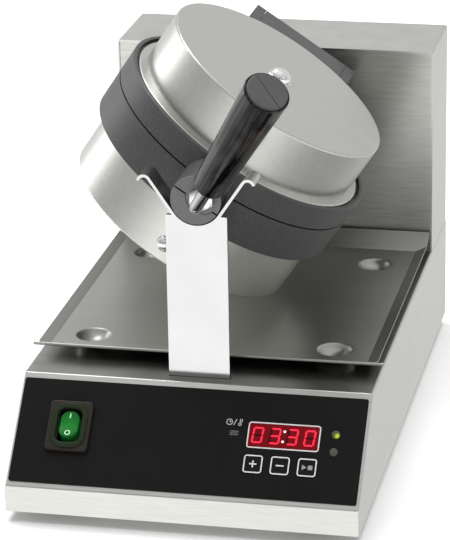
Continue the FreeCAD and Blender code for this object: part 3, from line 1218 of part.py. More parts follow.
def main():
    """Build every piece and write one file for each."""
    drum = {**drum_halves(), **handle(), **lid_hinge(), **yoke(), **main_shaft()}
    nodes = {name: in_drum(shape) for name, shape in drum.items()}
    panel = {**control_panel(), **rocker_switch()}
    nodes.update({name: on_panel(shape) for name, shape in panel.items()})
    nodes.update(bearing())
    nodes.update(front_support())
    nodes.update(bottom())
    nodes.update(tower())
    nodes.update(mains_parts())
    nodes["base_shell"] = base_shell()
    nodes["drip_tray"] = drip_tray()
    nodes["sheet_screws"] = sheet_screws()
    os.makedirs("parts", exist_ok=True)
    for name, shape in nodes.items():
        shape.exportStep(f"parts/{name}.step")


main()
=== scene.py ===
"""The looks of a rotary waffle maker, dressed over its packed construction frame."""

import logging
import math
from collections.abc import Callable, Iterable, Sequence
from dataclasses import dataclass, field
from enum import Enum
from typing import Any

import bmesh
import bpy
from mathutils import Matrix, Vector


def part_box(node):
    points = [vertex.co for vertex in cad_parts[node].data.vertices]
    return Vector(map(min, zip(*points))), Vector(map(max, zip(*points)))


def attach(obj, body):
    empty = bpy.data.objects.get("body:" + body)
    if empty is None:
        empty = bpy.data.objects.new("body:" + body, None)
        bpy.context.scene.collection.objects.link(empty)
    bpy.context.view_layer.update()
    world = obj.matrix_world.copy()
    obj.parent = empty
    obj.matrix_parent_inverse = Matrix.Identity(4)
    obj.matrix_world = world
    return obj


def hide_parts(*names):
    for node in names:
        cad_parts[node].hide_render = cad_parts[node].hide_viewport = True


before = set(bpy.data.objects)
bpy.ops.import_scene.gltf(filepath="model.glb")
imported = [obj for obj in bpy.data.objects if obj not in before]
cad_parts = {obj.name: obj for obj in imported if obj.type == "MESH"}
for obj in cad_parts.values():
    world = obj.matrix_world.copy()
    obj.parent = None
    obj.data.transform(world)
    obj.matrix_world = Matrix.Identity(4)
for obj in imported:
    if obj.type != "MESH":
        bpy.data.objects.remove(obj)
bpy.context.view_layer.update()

MM = 0.001
HAIR = 0.01 * MM
QUARTER = math.pi / 2
SMOOTH_ANGLE = 30.0
RING_SIDES = 40

Colour = tuple[float, float, float]
Triple = tuple[float, float, float]
Pair = tuple[float, float]
Ring = tuple[float, float]
Piece = bpy.types.Object

log = logging.getLogger("waffle_maker")


def moved(x: float = 0.0, y: float = 0.0, z: float = 0.0) -> Matrix:
    """Return a move along the three axes."""
    return Matrix.Translation((x, y, z))


def spun(angle: float, axis: str) -> Matrix:
    """Return a turn about one axis."""
    return Matrix.Rotation(angle, 4, axis)


def grey(level: float) -> Colour:
    """Return a grey of one level."""
    return (level, level, level)


def scaled(colour: Colour, share: float) -> Colour:
    """Return a colour made darker or lighter by a share."""
    return tuple(share * part for part in colour)


def point(x: float, y: float, z: float) -> Any:
    """Return a field that holds a point written in millimetres."""
    return field(default_factory=lambda: Vector((x, y, z)) * MM)


def in_metres(pairs: Iterable[Pair]) -> list[Pair]:
    """Return pairs of lengths that are written in millimetres."""
    return [(first * MM, second * MM) for first, second in pairs]


def hexagon_radius(flats: float) -> float:
    """Return how far a hexagon's corners lie from its middle, from its width across flats."""
    return flats / math.sqrt(3.0)


class Value:
    """A number, colour or vector inside a material, whose sums are written as Python."""

    def __init__(self, graph: "Graph", socket: bpy.types.NodeSocket) -> None:
        """Keep the socket that holds the value and the graph that new nodes are added to."""
        self.graph = graph
        self.socket = socket

    def _math(self, operation: str, first: "Value | float", second: "Value | float") -> "Value":
        """Return the result of one Math node."""
        return self.graph.node("ShaderNodeMath", {"operation": operation}, {0: first, 1: second})

    def __add__(self, other: "Value | float") -> "Value":
        """Return the sum of this value and another."""
        return self._math("ADD", self, other)

    def __sub__(self, other: "Value | float") -> "Value":
        """Return this value less another."""
        return self._math("SUBTRACT", self, other)

    def __rsub__(self, other: float) -> "Value":
        """Return a number less this value."""
        return self._math("SUBTRACT", other, self)

    def __mul__(self, other: "Value | float") -> "Value":
        """Return the product of this value and another."""
        return self._math("MULTIPLY", self, other)

    __radd__ = __add__
    __rmul__ = __mul__


class Graph:
    """The node graph of one material, or of the light round the scene."""

    def __init__(self, owner: bpy.types.Material | bpy.types.World) -> None:
        """Start an empty graph.

        Args:
            owner: The material or the world that the graph belongs to.
        """
        owner.use_nodes = True
        self.owner = owner
        self.tree = owner.node_tree
        self.tree.nodes.clear()

    @classmethod
    def of_material(cls, name: str) -> "Graph":
        """Return the empty graph of a new material."""
        return cls(bpy.data.materials.new(name))

    def node(self, kind: str, settings: dict[str, Any] | None = None,
             inputs: dict[Any, Any] | None = None, output: int | str = 0) -> Value:
        """Add a node of any kind.

        Args:
            kind: The node's type.
            settings: Its own settings, set first. "stops" holds a ramp's places and colours.
            inputs: A value or a link for each socket that is named.
            output: The output to hand back.

        Returns:
            The chosen output.
        """
        made = self.tree.nodes.new(kind)
        for name, setting in (settings or {}).items():
            if name == "stops":
                self._set_stops(made.color_ramp, setting)
            else:
                setattr(made, name, setting)
        for key, given in (inputs or {}).items():
            if isinstance(given, Value):
                self.tree.links.new(given.socket, made.inputs[key])
            else:
                made.inputs[key].default_value = given
        return Value(self, made.outputs[output])

    @staticmethod
    def _set_stops(ramp: bpy.types.ColorRamp, stops: Sequence[Pair]) -> None:
        """Put grey stops on a ramp.

        Args:
            ramp: The ramp to set.
            stops: The place and the level of each stop, in order.
        """
        while len(ramp.elements) < len(stops):
            ramp.elements.new(1.0)
        for element, (place, level) in zip(ramp.elements, stops):
            element.position = place
            element.color = (level, level, level, 1.0)

    def place(self, scale: Triple = (1.0, 1.0, 1.0), turn: Triple = (0.0, 0.0, 0.0),
              centre: Triple = (0.0, 0.0, 0.0)) -> Value:
        """Return the surface's own coordinates, centred and turned, then stretched.

        Args:
            scale: How often the pattern repeats along each axis.
            turn: The pattern's turn, in radians.
            centre: The pattern's origin, in metres.

        Returns:
            The coordinates.
        """
        raw = self.node("ShaderNodeTexCoord", output="Object")
        local = self.node("ShaderNodeMapping", {"vector_type": "TEXTURE"},
                          {"Vector": raw, "Rotation": turn, "Location": centre})
        return self.node("ShaderNodeMapping", {"vector_type": "POINT"}, {"Vector": local, "Scale": scale})

    def along(self, axis: str) -> Value:
        """Return the surface's own coordinate along one axis."""
        return self.node("ShaderNodeSeparateXYZ", {}, {0: self.place()}, axis)

    def ramp(self, value: Value, low: float, high: float, start: float = 0.0, end: float = 1.0) -> Value:
        """Return a number that runs from start to end while a value rises from low to high."""
        return self.node("ShaderNodeMapRange", {}, {"Value": value, "From Min": low, "From Max": high,
                                                    "To Min": start, "To Max": end})

    def noise(self, where: Value, scale: float = 1.0, detail: float = 2.0) -> Value:
        """Return soft noise between 0 and 1, with a count of finer layers."""
        return self.node("ShaderNodeTexNoise", {}, {"Vector": where, "Scale": scale, "Detail": detail})

    def mix(self, share: Value, first: Colour, second: Colour) -> Value:
        """Return a colour between two: a share of 0 gives the first and 1 the second."""
        return self.node("ShaderNodeMix", {"data_type": "RGBA"},
                         {0: share, 6: (*first, 1.0), 7: (*second, 1.0)}, 2)

    def bump(self, height: Value, strength: float, depth: float) -> Value:
        """Return a normal that is roughened by a height between 0 and 1, of a real depth in metres."""
        return self.node("ShaderNodeBump", {}, {"Height": height, "Strength": strength, "Distance": depth})

    def close(self, surface: dict[str, Any]) -> bpy.types.Material:
        """Finish the material with one shader.

        Args:
            surface: A value or a link for each of the shader's sockets.

        Returns:
            The material.
        """
        shader = self.node("ShaderNodeBsdfPrincipled", {}, surface)
        self.tree.links.new(shader.socket, self.tree.nodes.new("ShaderNodeOutputMaterial").inputs["Surface"])
        return self.owner


class Grain(Enum):
    """The way in which a sheet was rubbed."""

    ACROSS = (5.0, 420.0, 420.0)
    LEVEL = (45.0, 45.0, 900.0)


@dataclass(frozen=True)
class SheetSteel:
    """Stainless sheet with a fine rubbed grain and faint cloudy handling marks."""

    name: str
    tint: float = 0.60
    roughness: float = 0.30
    grain: Grain = Grain.LEVEL
    contrast: float = 0.05
    turn: float = 0.0
    height: float = 0.0
    stretch: float = 0.0
    warmth: float = 0.95
    cloud_scale: float = 14.0
    deck: float = 1.0
    deck_edge: float = 0.2 * MM
    painted_deck_shade: float = 0.24

    def material(self) -> bpy.types.Material:
        """Return the finish as a material, with painted shade darkening it above the level of the deck."""
        graph = Graph.of_material(self.name)
        turn, centre = (0.0, self.turn, 0.0), (0.0, 0.0, self.height)
        # Above the deck the colour is darkened with painted shade, standing in for the shade of the tray and
        # the drum over the base's top.
        top = graph.ramp(graph.along("Z"), self.deck, self.deck + self.deck_edge)
        lines = graph.noise(graph.place(self.grain.value, turn, centre))
        clouds = graph.noise(graph.place(turn=turn, centre=centre), self.cloud_scale)
        tone = self.tint + 2.0 * self.contrast * (lines - 0.5) - self.painted_deck_shade * top
        colour = graph.node("ShaderNodeCombineXYZ", {}, {"X": tone, "Y": tone, "Z": self.warmth * tone})
        rough = self.roughness + 0.05 * (lines - 0.5) + 0.06 * (clouds - 0.5)
        return graph.close({"Base Color": colour, "Metallic": 1.0, "Roughness": rough,
                            "Anisotropic": self.stretch, "Anisotropic Rotation": 0.25})


@dataclass(frozen=True)
class BrightSteel:
    """Polished or plated steel with faint hairlines."""

    name: str
    tint: float = 0.78
    roughness: float = 0.14
    contrast: float = 0.04
    hair_scale: Triple = (40.0, 900.0, 40.0)
    cloud_scale: float = 30.0

    def material(self) -> bpy.types.Material:
        """Return the finish as a material."""
        graph = Graph.of_material(self.name)
        hairs = graph.noise(graph.place(self.hair_scale))
        clouds = graph.noise(graph.place(), self.cloud_scale)
        colour = graph.mix(clouds, grey(self.tint - self.contrast), grey(self.tint + self.contrast))
        rough = self.roughness + 0.06 * (hairs - 0.5) + 0.05 * (clouds - 0.5)
        return graph.close({"Base Color": colour, "Metallic": 1.0, "Roughness": rough})


@dataclass(frozen=True)
class CastMetal:
    """Cast metal under a thin dark coat, with a fine sand-cast tooth and a paler machined front."""

    name: str
    shade: float = 0.06
    roughness: float = 0.46
    metallic: float = 0.25
    machined: float = -1.0
    machined_edge: float = 0.3 * MM
    machined_share: float = 0.40
    tooth_scale: float = 620.0
    tooth_share: float = 0.26
    cloud_scale: float = 35.0
    cloud_share: float = 0.09
    dark_share: float = 0.10
    dark: float = 0.75
    light: float = 5.0

    def material(self) -> bpy.types.Material:
        """Return the finish as a material."""
        graph = Graph.of_material(self.name)
        tooth = graph.noise(graph.place(), self.tooth_scale, 3.0)
        clouds = graph.noise(graph.place(), self.cloud_scale, 3.0)
        front = graph.ramp(graph.along("Y"), self.machined, self.machined + self.machined_edge, 1.0, 0.0)
        share = self.tooth_share * tooth + self.cloud_share * clouds + self.machined_share * front
        dark, light = grey(self.shade * self.dark), grey(self.shade * self.light)
        colour = graph.mix(share - self.dark_share, dark, light)
        rough = self.roughness + 0.14 * (tooth - 0.5) + 0.08 * (clouds - 0.5)
        return graph.close({"Base Color": colour, "Metallic": self.metallic, "Roughness": rough,
                            "Normal": graph.bump(tooth, 0.25, 0.3 * MM)})


@dataclass(frozen=True)
class Moulding:
    """Moulded plastic or rubber with a fine tool texture."""

    name: str
    colour: Colour = (0.015, 0.015, 0.016)
    roughness: float = 0.30
    tooth: float = 900.0
    relief: float = 0.08
    coat: float = 0.0
    gloss: float = 0.5
    contrast: float = 0.15
    cloud_scale: float = 45.0

    def material(self) -> bpy.types.Material:
        """Return the finish as a material."""
        graph = Graph.of_material(self.name)
        tooth = graph.noise(graph.place(), self.tooth)
        clouds = graph.noise(graph.place(), self.cloud_scale)
        dark, light = (scaled(self.colour, share) for share in (1.0 - self.contrast, 1.0 + self.contrast))
        rough = self.roughness + 0.08 * (tooth - 0.5) + 0.08 * (clouds - 0.5)
        return graph.close({"Base Color": graph.mix(clouds, dark, light), "Roughness": rough,
                            "Specular IOR Level": self.gloss, "Coat Weight": self.coat,
                            "Coat Roughness": 0.06, "Normal": graph.bump(tooth, self.relief, 0.2 * MM)})


@dataclass(frozen=True)
class Bakelite:
    """Black pressed resin whose colour carries painted reflection streaks along the grip, with real streaks
    in its polish and relief.
    """

    name: str
    axis: Matrix
    dark: Colour = (0.002, 0.002, 0.002)
    painted_sheen: Colour = (0.085, 0.083, 0.078)
    roughness: float = 0.11
    gloss: float = 0.30
    streak_scale: Triple = (300.0, 300.0, 5.0)
    streak_share: float = 0.75
    streak_run: Pair = (0.46, 0.72)
    cloud_scale: float = 60.0

    def material(self) -> bpy.types.Material:
        """Return the finish as a material."""
        graph = Graph.of_material(self.name)
        turn, centre = tuple(self.axis.to_euler()), tuple(self.axis.translation)
        streaks = graph.noise(graph.place(self.streak_scale, turn, centre), detail=3.0)
        clouds = graph.noise(graph.place(), self.cloud_scale)
        rough = self.roughness + 0.16 * (streaks - 0.5) + 0.05 * (clouds - 0.5)
        # The paler streaks mixed into the colour are painted reflections of the lights, running along the
        # grip.
        painted_sheen = self.streak_share * streaks + (1.0 - self.streak_share) * clouds
        lines = graph.ramp(painted_sheen, *self.streak_run)
        return graph.close({"Base Color": graph.mix(lines, self.dark, self.painted_sheen), "Roughness": rough,
                            "Specular IOR Level": self.gloss, "Normal": graph.bump(streaks, 0.06, 0.2 * MM)})


@dataclass(frozen=True)
class Glow:
    """A lit plastic part, brightest at its lamp and duller towards its edges."""

    name: str
    colour: Colour
    light: Colour
    strength: float
    centre: Triple = (0.0, 0.0, 0.0)
    reach: float = 0.01
    roughness: float = 0.25
    gloss: float = 0.3
    fringe: float = 0.35
    speckle: float = 0.1
    speckle_scale: float = 1200.0

    def material(self) -> bpy.types.Material:
        """Return the finish as a material."""
        graph = Graph.of_material(self.name)
        near = graph.node("ShaderNodeTexGradient", {"gradient_type": "SPHERICAL"},
                          {"Vector": graph.place(grey(1.0 / self.reach), centre=self.centre)}, "Fac")
        speckle = graph.noise(graph.place(), self.speckle_scale)
        share = (1.0 - self.speckle) * near + self.speckle * speckle
        return graph.close({"Base Color": graph.mix(share, self.colour, self.light),
                            "Roughness": self.roughness + 0.05 * (speckle - 0.5),
                            "Emission Color": graph.mix(share, scaled(self.light, self.fringe), self.light),
                            "Emission Strength": self.strength, "Specular IOR Level": self.gloss})


@dataclass(frozen=True)
class Ink:
    """Screen-printed ink with a slightly uneven coat."""

    name: str
    colour: Colour = (0.72, 0.72, 0.71)
    thin: float = 0.88
    coat_scale: float = 2500.0

    def material(self) -> bpy.types.Material:
        """Return the finish as a material."""
        graph = Graph.of_material(self.name)
        coat = graph.noise(graph.place(), self.coat_scale)
        return graph.close({"Base Color": graph.mix(coat, scaled(self.colour, self.thin), self.colour),
                            "Roughness": 0.45 + 0.15 * (coat - 0.5)})


@dataclass(frozen=True)
class Fibre:
    """Pressed mineral wool with tangled strands."""

    name: str
    colour: Colour = (0.56, 0.50, 0.36)
    shadow: float = 0.55
    strand_scale: Triple = (300.0, 300.0, 1200.0)

    def material(self) -> bpy.types.Material:
        """Return the finish as a material."""
        graph = Graph.of_material(self.name)
        strands = graph.noise(graph.place(self.strand_scale), detail=4.0)
        return graph.close({"Base Color": graph.mix(strands, scaled(self.colour, self.shadow), self.colour),
                            "Roughness": 0.88 + 0.1 * (strands - 0.5),
                            "Normal": graph.bump(strands, 0.7, 0.8 * MM)})


@dataclass(frozen=True)
class CircuitBoard:
    """Green solder mask over a pattern of copper tracks."""

    name: str
    mask: Colour = (0.01, 0.09, 0.03)
    track: Colour = (0.05, 0.2, 0.08)
    track_scale: float = 260.0
    track_width: float = 0.06

    def material(self) -> bpy.types.Material:
        """Return the finish as a material."""
        graph = Graph.of_material(self.name)
        black, white = (0.0, 0.0, 0.0, 1.0), (1.0, 1.0, 1.0, 1.0)
        tracks = graph.node("ShaderNodeTexBrick", {}, {
            "Vector": graph.place(grey(self.track_scale)), "Color1": black, "Color2": black, "Mortar": white,
            "Mortar Size": self.track_width}, "Fac")
        return graph.close({"Base Color": graph.mix(tracks, self.mask, self.track),
                            "Roughness": 0.35 + 0.1 * tracks})


class Part(Enum):
    """What a selection picks in edit mode."""

    CORNERS = "VERT"
    FACES = "FACE"


class Bench:
    """Blender's modelling tools, each used on the one piece in hand."""

    @staticmethod
    def clear() -> None:
        """Leave edit mode and let go of everything."""
        held = bpy.context.view_layer.objects.active
        if held and held.mode != "OBJECT":
            bpy.ops.object.mode_set(mode="OBJECT")
        bpy.ops.object.select_all(action="DESELECT")

    @staticmethod
    def take(piece: Piece) -> None:
        """Hold one piece and nothing else."""
        Bench.clear()
        piece.select_set(True)
        bpy.context.view_layer.objects.active = piece

    @staticmethod
    def named(name: str) -> Piece:
        """Name the primitive that was just added, with its place put in its mesh.

        Args:
            name: The piece's name.

        Returns:
            The piece.
        """
        piece = bpy.context.view_layer.objects.active
        piece.name = name
        piece.data.name = name
        bpy.ops.object.transform_apply(location=True, rotation=True, scale=True)
        return piece

    @staticmethod
    def disc(name: str, radius: float, sides: int, height: float = 0.0) -> Piece:
        """Add a filled disc.

        Args:
            name: The piece's name.
            radius: Its radius.
            sides: Its count of sides.
            height: Its height.

        Returns:
            The disc.
        """
        Bench.clear()
        bpy.ops.mesh.primitive_circle_add(vertices=sides, radius=radius, fill_type="NGON",
                                          location=(0.0, 0.0, height))
        return Bench.named(name)

    @staticmethod
    def pick(piece: Piece, part: Part, test: Callable[[Any], bool]) -> None:
        """Select, in edit mode, what passes a test.

        Args:
            piece: The piece in hand.
            part: Whether corners or faces are looked at.
            test: Says whether one of them is wanted.
        """
        bpy.ops.mesh.select_mode(type=part.value)
        bpy.ops.mesh.select_all(action="DESELECT")
        mesh = bmesh.from_edit_mesh(piece.data)
        for item in mesh.verts if part is Part.CORNERS else mesh.faces:
            item.select_set(test(item))
        mesh.select_flush_mode()
        bmesh.update_edit_mesh(piece.data)

    @staticmethod
    def edit(piece: Piece) -> None:
        """Open a piece for editing with all of it selected."""
        Bench.take(piece)
        bpy.ops.object.mode_set(mode="EDIT")
        bpy.ops.mesh.select_all(action="SELECT")

    @staticmethod
    def outward() -> None:
        """Turn every face outwards and leave edit mode."""
        bpy.ops.mesh.select_all(action="SELECT")
        bpy.ops.mesh.normals_make_consistent(inside=False)
        bpy.ops.object.mode_set(mode="OBJECT")

    @staticmethod
    def pull(height: float) -> None:
        """Extrude what is selected along the piece's axis."""
        bpy.ops.mesh.extrude_region_move(TRANSFORM_OT_translate={"value": (0.0, 0.0, height)})

    @staticmethod
    def raise_ring(before: Ring, after: Ring) -> None:
        """Extrude the selected disc face to its next ring.

        Args:
            before: The radius and height that it has.
            after: The radius and height that it gets.
        """
        Bench.pull(after[1] - before[1])
        share = after[0] / before[0]
        bpy.ops.transform.resize(value=(share, share, 1.0), center_override=(0.0, 0.0, after[1]))

    @staticmethod
    def turned(name: str, rings: Sequence[Ring], sides: int = 96) -> Piece:
        """Raise a round piece from a disc, ring by ring.

        Args:
            name: The piece's name.
            rings: The radius and height of each ring, from the foot up.
            sides: The count of sides.

        Returns:
            The piece, standing on its own axis.
        """
        piece = Bench.disc(name, rings[0][0], sides, rings[0][1])
        Bench.edit(piece)
        for before, after in zip(rings, rings[1:]):
            Bench.raise_ring(before, after)
        Bench.outward()
        return piece

    @staticmethod
    def plaque(name: str, width: float, height: float, corner: float, steps: int = 6) -> Piece:
        """Add a flat plaque with rounded corners.

        Args:
            name: The piece's name.
            width: Its width.
            height: Its height.
            corner: The radius of its corners.
            steps: How many steps each corner has.

        Returns:
            The plaque, flat and facing up.
        """
        Bench.clear()
        bpy.ops.mesh.primitive_plane_add(size=1.0)
        bpy.context.view_layer.objects.active.scale = (width, height, 1.0)
        piece = Bench.named(name)
        Bench.edit(piece)
        bpy.ops.mesh.bevel(offset=corner, offset_type="OFFSET", segments=steps, affect="VERTICES")
        bpy.ops.object.mode_set(mode="OBJECT")
        return piece

    @staticmethod
    def hollow(piece: Piece, line: float) -> None:
        """Leave only a line of a flat piece, round its edge.

        Args:
            piece: A flat piece of one face.
            line: The line's width.
        """
        Bench.edit(piece)
        bpy.ops.mesh.select_mode(type=Part.FACES.value)
        bpy.ops.mesh.select_all(action="SELECT")
        bpy.ops.mesh.inset(thickness=line, depth=0.0)
        bpy.ops.mesh.delete(type="FACE")
        bpy.ops.object.mode_set(mode="OBJECT")

    @staticmethod
    def change(piece: Piece, kind: str, **settings: Any) -> None:
        """Add one modifier to a piece and apply it.

        Args:
            piece: The piece.
            kind: The modifier's type.
            settings: Its settings.
        """
        Bench.take(piece)
        modifier = piece.modifiers.new(kind.lower(), kind)
        for name, setting in settings.items():
            setattr(modifier, name, setting)
        bpy.ops.object.modifier_apply(modifier=modifier.name)

    @staticmethod
    def thicken(piece: Piece, thick: float) -> Piece:
        """Give a flat piece its thickness, upwards, and return it."""
        Bench.change(piece, "SOLIDIFY", thickness=thick, offset=1.0)
        return piece

    @staticmethod
    def smooth(piece: Piece, angle: float = SMOOTH_ANGLE) -> Piece:
        """Smooth a piece's shading, apart from edges sharper than an angle in degrees, and return it."""
        Bench.take(piece)
        bpy.ops.object.shade_smooth_by_angle(angle=math.radians(angle))
        return piece

    @staticmethod
    def soften(piece: Piece, width: float, steps: int = 3, angle: float = 35.0) -> None:
        """Round the edges of a piece that are sharper than an angle in degrees, and smooth its shading."""
        Bench.change(piece, "BEVEL", width=width, segments=steps, limit_method="ANGLE",
                     angle_limit=math.radians(angle))
        Bench.smooth(piece, angle)

    @staticmethod
    def keep_common(piece: Piece, tool: Piece) -> None:
        """Keep what a piece shares with a closed shape, and drop that shape."""
        Bench.change(piece, "BOOLEAN", operation="INTERSECT", object=tool)
        bpy.data.objects.remove(tool)

    @staticmethod
    def score(piece: Piece, cuts: Iterable[tuple[Vector, float]]) -> float:
        """Cut a piece's top face along lines.

        Args:
            piece: The piece, standing on its axis.
            cuts: Each line's direction across it, and its distance from the axis.

        Returns:
            A level just under the top face.
        """
        top = max(corner.co.z for corner in piece.data.vertices) - HAIR
        for across, offset in cuts:
            Bench.edit(piece)
            Bench.pick(piece, Part.FACES, lambda face: face.calc_center_median().z > top)
            bpy.ops.mesh.bisect(plane_co=across * offset, plane_no=across)
            bpy.ops.object.mode_set(mode="OBJECT")
        return top

    @staticmethod
    def sink(piece: Piece, depth: float, cuts: Iterable[tuple[Vector, float]],
             wanted: Callable[[Vector], bool]) -> None:
        """Cut a piece's top face along lines, then press part of it in.

        Args:
            piece: The piece, standing on its axis.
            depth: How far it is pressed in.
            cuts: Each line's direction across it, and its distance from the axis.
            wanted: Says whether the face with this middle is pressed in.
        """
        top = Bench.score(piece, cuts)
        Bench.edit(piece)
        Bench.pick(piece, Part.FACES, lambda face: face.calc_center_median().z > top
                   and wanted(face.calc_center_median()))
        Bench.pull(-depth)
        Bench.outward()

    @staticmethod
    def settle(piece: Piece, place: Matrix) -> Piece:
        """Put a piece in its place, with that place in its mesh.

        Args:
            piece: The piece.
            place: Its place in the shared frame.

        Returns:
            The same piece.
        """
        Bench.take(piece)
        piece.matrix_world = place @ piece.matrix_world
        bpy.ops.object.transform_apply(location=True, rotation=True, scale=True)
        return piece

    @staticmethod
    def copies(piece: Piece, places: Iterable[Matrix]) -> list[Piece]:
        """Copy a piece to several places, each copy with its own mesh, and drop the pattern.

        Args:
            piece: The pattern.
            places: Where the copies go.

        Returns:
            The copies.
        """
        made = []
        for place in places:
            twin = piece.copy()
            twin.data = piece.data.copy()
            bpy.context.scene.collection.objects.link(twin)
            made.append(Bench.settle(twin, place))
        bpy.data.objects.remove(piece)
        return made

    @staticmethod
    def joined(name: str, pieces: Sequence[Piece]) -> Piece:
        """Join several meshes into one piece.

        Args:
            name: The piece's name.
            pieces: What is joined.

        Returns:
            The one piece.
        """
        Bench.clear()
        for piece in pieces:
            piece.select_set(True)
        bpy.context.view_layer.objects.active = pieces[0]
        if len(pieces) > 1:
            bpy.ops.object.join()
        pieces[0].name = name
        pieces[0].data.name = name
        return pieces[0]


def dress(piece: Piece, finish: bpy.types.Material) -> None:
    """Give a piece or a construction node one finish."""
    piece.data.materials.clear()
    piece.data.materials.append(finish)


def fit(piece: Piece, finish: bpy.types.Material, body: str,
        stands_for: Sequence[str] = ()) -> None:
    """Dress a new piece and hang it on the body that carries it.

    Args:
        piece: The new piece, in place.
        finish: Its material.
        body: The body that it moves with.
        stands_for: The construction nodes that it replaces.
    """
    dress(piece, finish)
    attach(piece, body)
    if stands_for:
        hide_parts(*stands_for)
    log.info("%s on %s: %d faces", piece.name, body, len(piece.data.polygons))


def dress_nodes(finish: bpy.types.Material, *nodes: str) -> None:
    """Give one finish to several construction nodes, by their names."""
    for node in nodes:
        dress(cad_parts[node], finish)
        log.info("%s dressed in %s", node, finish.name)


@dataclass(frozen=True)
class DrumFrame:
    """Where the drum's axis runs and how far the drum leans as it rests."""

    axis_height: float = 220.0 * MM
    tilt: float = math.radians(34.0)

    def place(self) -> Matrix:
        """Return the drum's own frame."""
        return moved(z=self.axis_height) @ spun(self.tilt, "Y")


@dataclass(frozen=True)
class PanelFrame:
    """The sloping face that carries the controls."""

    lip_top: float = 27.4 * MM
    slope: float = math.radians(45.0)
    fascia: float = 1.0 * MM

    def place(self, across: float = 0.0, up: float = 0.0, out: float = 0.0) -> Matrix:
        """Return a place on the slope.

        Args:
            across: Sideways from the middle.
            up: Up the slope from its lower edge.
            out: Out of the slope's sheet.

        Returns:
            The place, with X across, Y up the slope and Z out of it.
        """
        low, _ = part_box("base_shell")
        root = moved(0.0, low.y, self.lip_top) @ spun(self.slope, "X")
        return root @ moved(across, up, out)


@dataclass
class Housing:
    """The base, the tower and what stands under and behind them."""

    deck: float = 88.2 * MM

    def dress(self) -> None:
        """Dress the housing's sheet metal and what is fixed inside it."""
        sheet = SheetSteel("brushed_stainless", contrast=0.09).material()
        dress_nodes(sheet, "tower_wrap", "tower_back", "bottom_plate")
        # The base's top is darkened above the deck's level with painted shade.
        dress_nodes(SheetSteel("brushed_base", contrast=0.09, deck=self.deck).material(), "base_shell")
        front = SheetSteel("brushed_front", 0.63, 0.32, contrast=0.14, stretch=0.75)
        dress_nodes(front.material(), "tower_front")
        steel = BrightSteel("screw_steel", 0.55, 0.3).material()
        dress_nodes(steel, "foot_screws", "bearing_screws", "flange_screws", "plate_screws",
                    "hinge_block_screws", "support_screws")
        dress_nodes(Moulding("component_plastic", (0.03, 0.03, 0.032), 0.5).material(), "display_module",
                    "terminal_block", "relay", "switch_body")
        dress_nodes(Moulding("standoff_nylon", (0.55, 0.53, 0.48), 0.5).material(), "board_standoffs",
                    "key_switches")
        dress_nodes(CircuitBoard("solder_mask").material(), "control_board")


@dataclass
class SheetScrews:
    """The small cross-head screws of the bottom plate, of the tower's flanges and of its back cover."""

    shank: float = 1.5 * MM
    length: float = 6.0 * MM
    head: float = 3.0 * MM
    rise: float = 1.8 * MM
    point_share: float = 0.4
    dome: tuple[Pair, ...] = ((1.0, 0.4), (0.94, 0.68), (0.8, 0.88), (0.6, 1.0))
    sides: int = 32
    slot_length: float = 3.0 * MM
    slot_width: float = 0.75 * MM
    slot_depth: float = 0.9 * MM
    bottom_side: float = 117.5 * MM
    bottom_rows: tuple[float, ...] = (-186.0 * MM, 10.5 * MM, 207.0 * MM)
    bottom_level: float = 8.0 * MM
    tower_side: float = 117.0 * MM
    flange_rows: tuple[float, ...] = (167.0 * MM, 207.0 * MM)
    flange_level: float = 87.0 * MM
    cover_back: float = 227.0 * MM
    cover_rows: tuple[float, ...] = (108.5 * MM, 231.0 * MM)

    def pattern(self) -> Piece:
        """Return one screw: a domed head with a cross pressed into it, on a pointed shank."""
        shank, length = self.shank, self.length
        rings = [(self.point_share * shank, -length), (shank, shank - length), (shank, 0.0)]
        rings += [(self.head, 0.0)]
        rings += [(wide * self.head, high * self.rise) for wide, high in self.dome]
        piece = Bench.turned("screw", rings, self.sides)
        wide, long = self.slot_width / 2, self.slot_length / 2
        ways = [Vector((1.0, 0.0, 0.0)), Vector((0.0, 1.0, 0.0))]
        cuts = [(way, offset) for way in ways for offset in (-long, -wide, wide, long)]
        Bench.sink(piece, self.slot_depth, cuts, lambda middle: min(abs(middle.x), abs(middle.y)) < wide
                   and max(abs(middle.x), abs(middle.y)) < long)
        return Bench.smooth(piece)

    def places(self) -> list[Matrix]:
        """Return where the screws sit, each with its head along Z."""
        down, back = spun(math.pi, "X"), spun(-QUARTER, "X")
        spots = []
        for side in (-1.0, 1.0):
            under = [(self.bottom_side, row, self.bottom_level) for row in self.bottom_rows]
            under += [(self.tower_side, row, self.flange_level) for row in self.flange_rows]
            spots += [moved(side * x, y, z) @ down for x, y, z in under]
            spots += [moved(side * self.tower_side, self.cover_back, row) @ back
                      for row in self.cover_rows]
        return spots

    def build(self) -> None:
        """Build and dress the screws."""
        piece = Bench.joined("cross_head_screws", Bench.copies(self.pattern(), self.places()))
        plated = BrightSteel("plated_screw", 0.6, 0.24).material()
        fit(piece, plated, "base", ["sheet_screws"])


@dataclass
class Feet:
    """The four rubber feet, grooved round their sides, with a well for the screw."""

    side: float = 91.0 * MM
    rows: tuple[float, ...] = (-172.0 * MM, 193.0 * MM)
    sides: int = 64
    profile: tuple[Ring, ...] = (
        (4.7, 5.0), (4.7, 0.5), (5.2, 0.0), (11.2, 0.0), (11.8, 0.2), (12.1, 0.7),
        (12.4, 2.0), (11.9, 2.3), (12.0, 2.9), (12.6, 3.2), (13.0, 4.5), (12.5, 4.8),
        (12.6, 5.4), (13.2, 5.7), (13.6, 7.2), (13.9, 7.5), (14.0, 8.0))

    def build(self) -> None:
        """Build and dress the feet."""
        foot = Bench.smooth(Bench.turned("foot", in_metres(self.profile), self.sides))
        spots = [moved(side * self.side, row) for side in (-1.0, 1.0) for row in self.rows]
        piece = Bench.joined("grooved_feet", Bench.copies(foot, spots))
        rubber = Moulding("foot_rubber", grey(0.02), 0.7, 500.0, 0.3).material()
        fit(piece, rubber, "base", ["rubber_feet"])


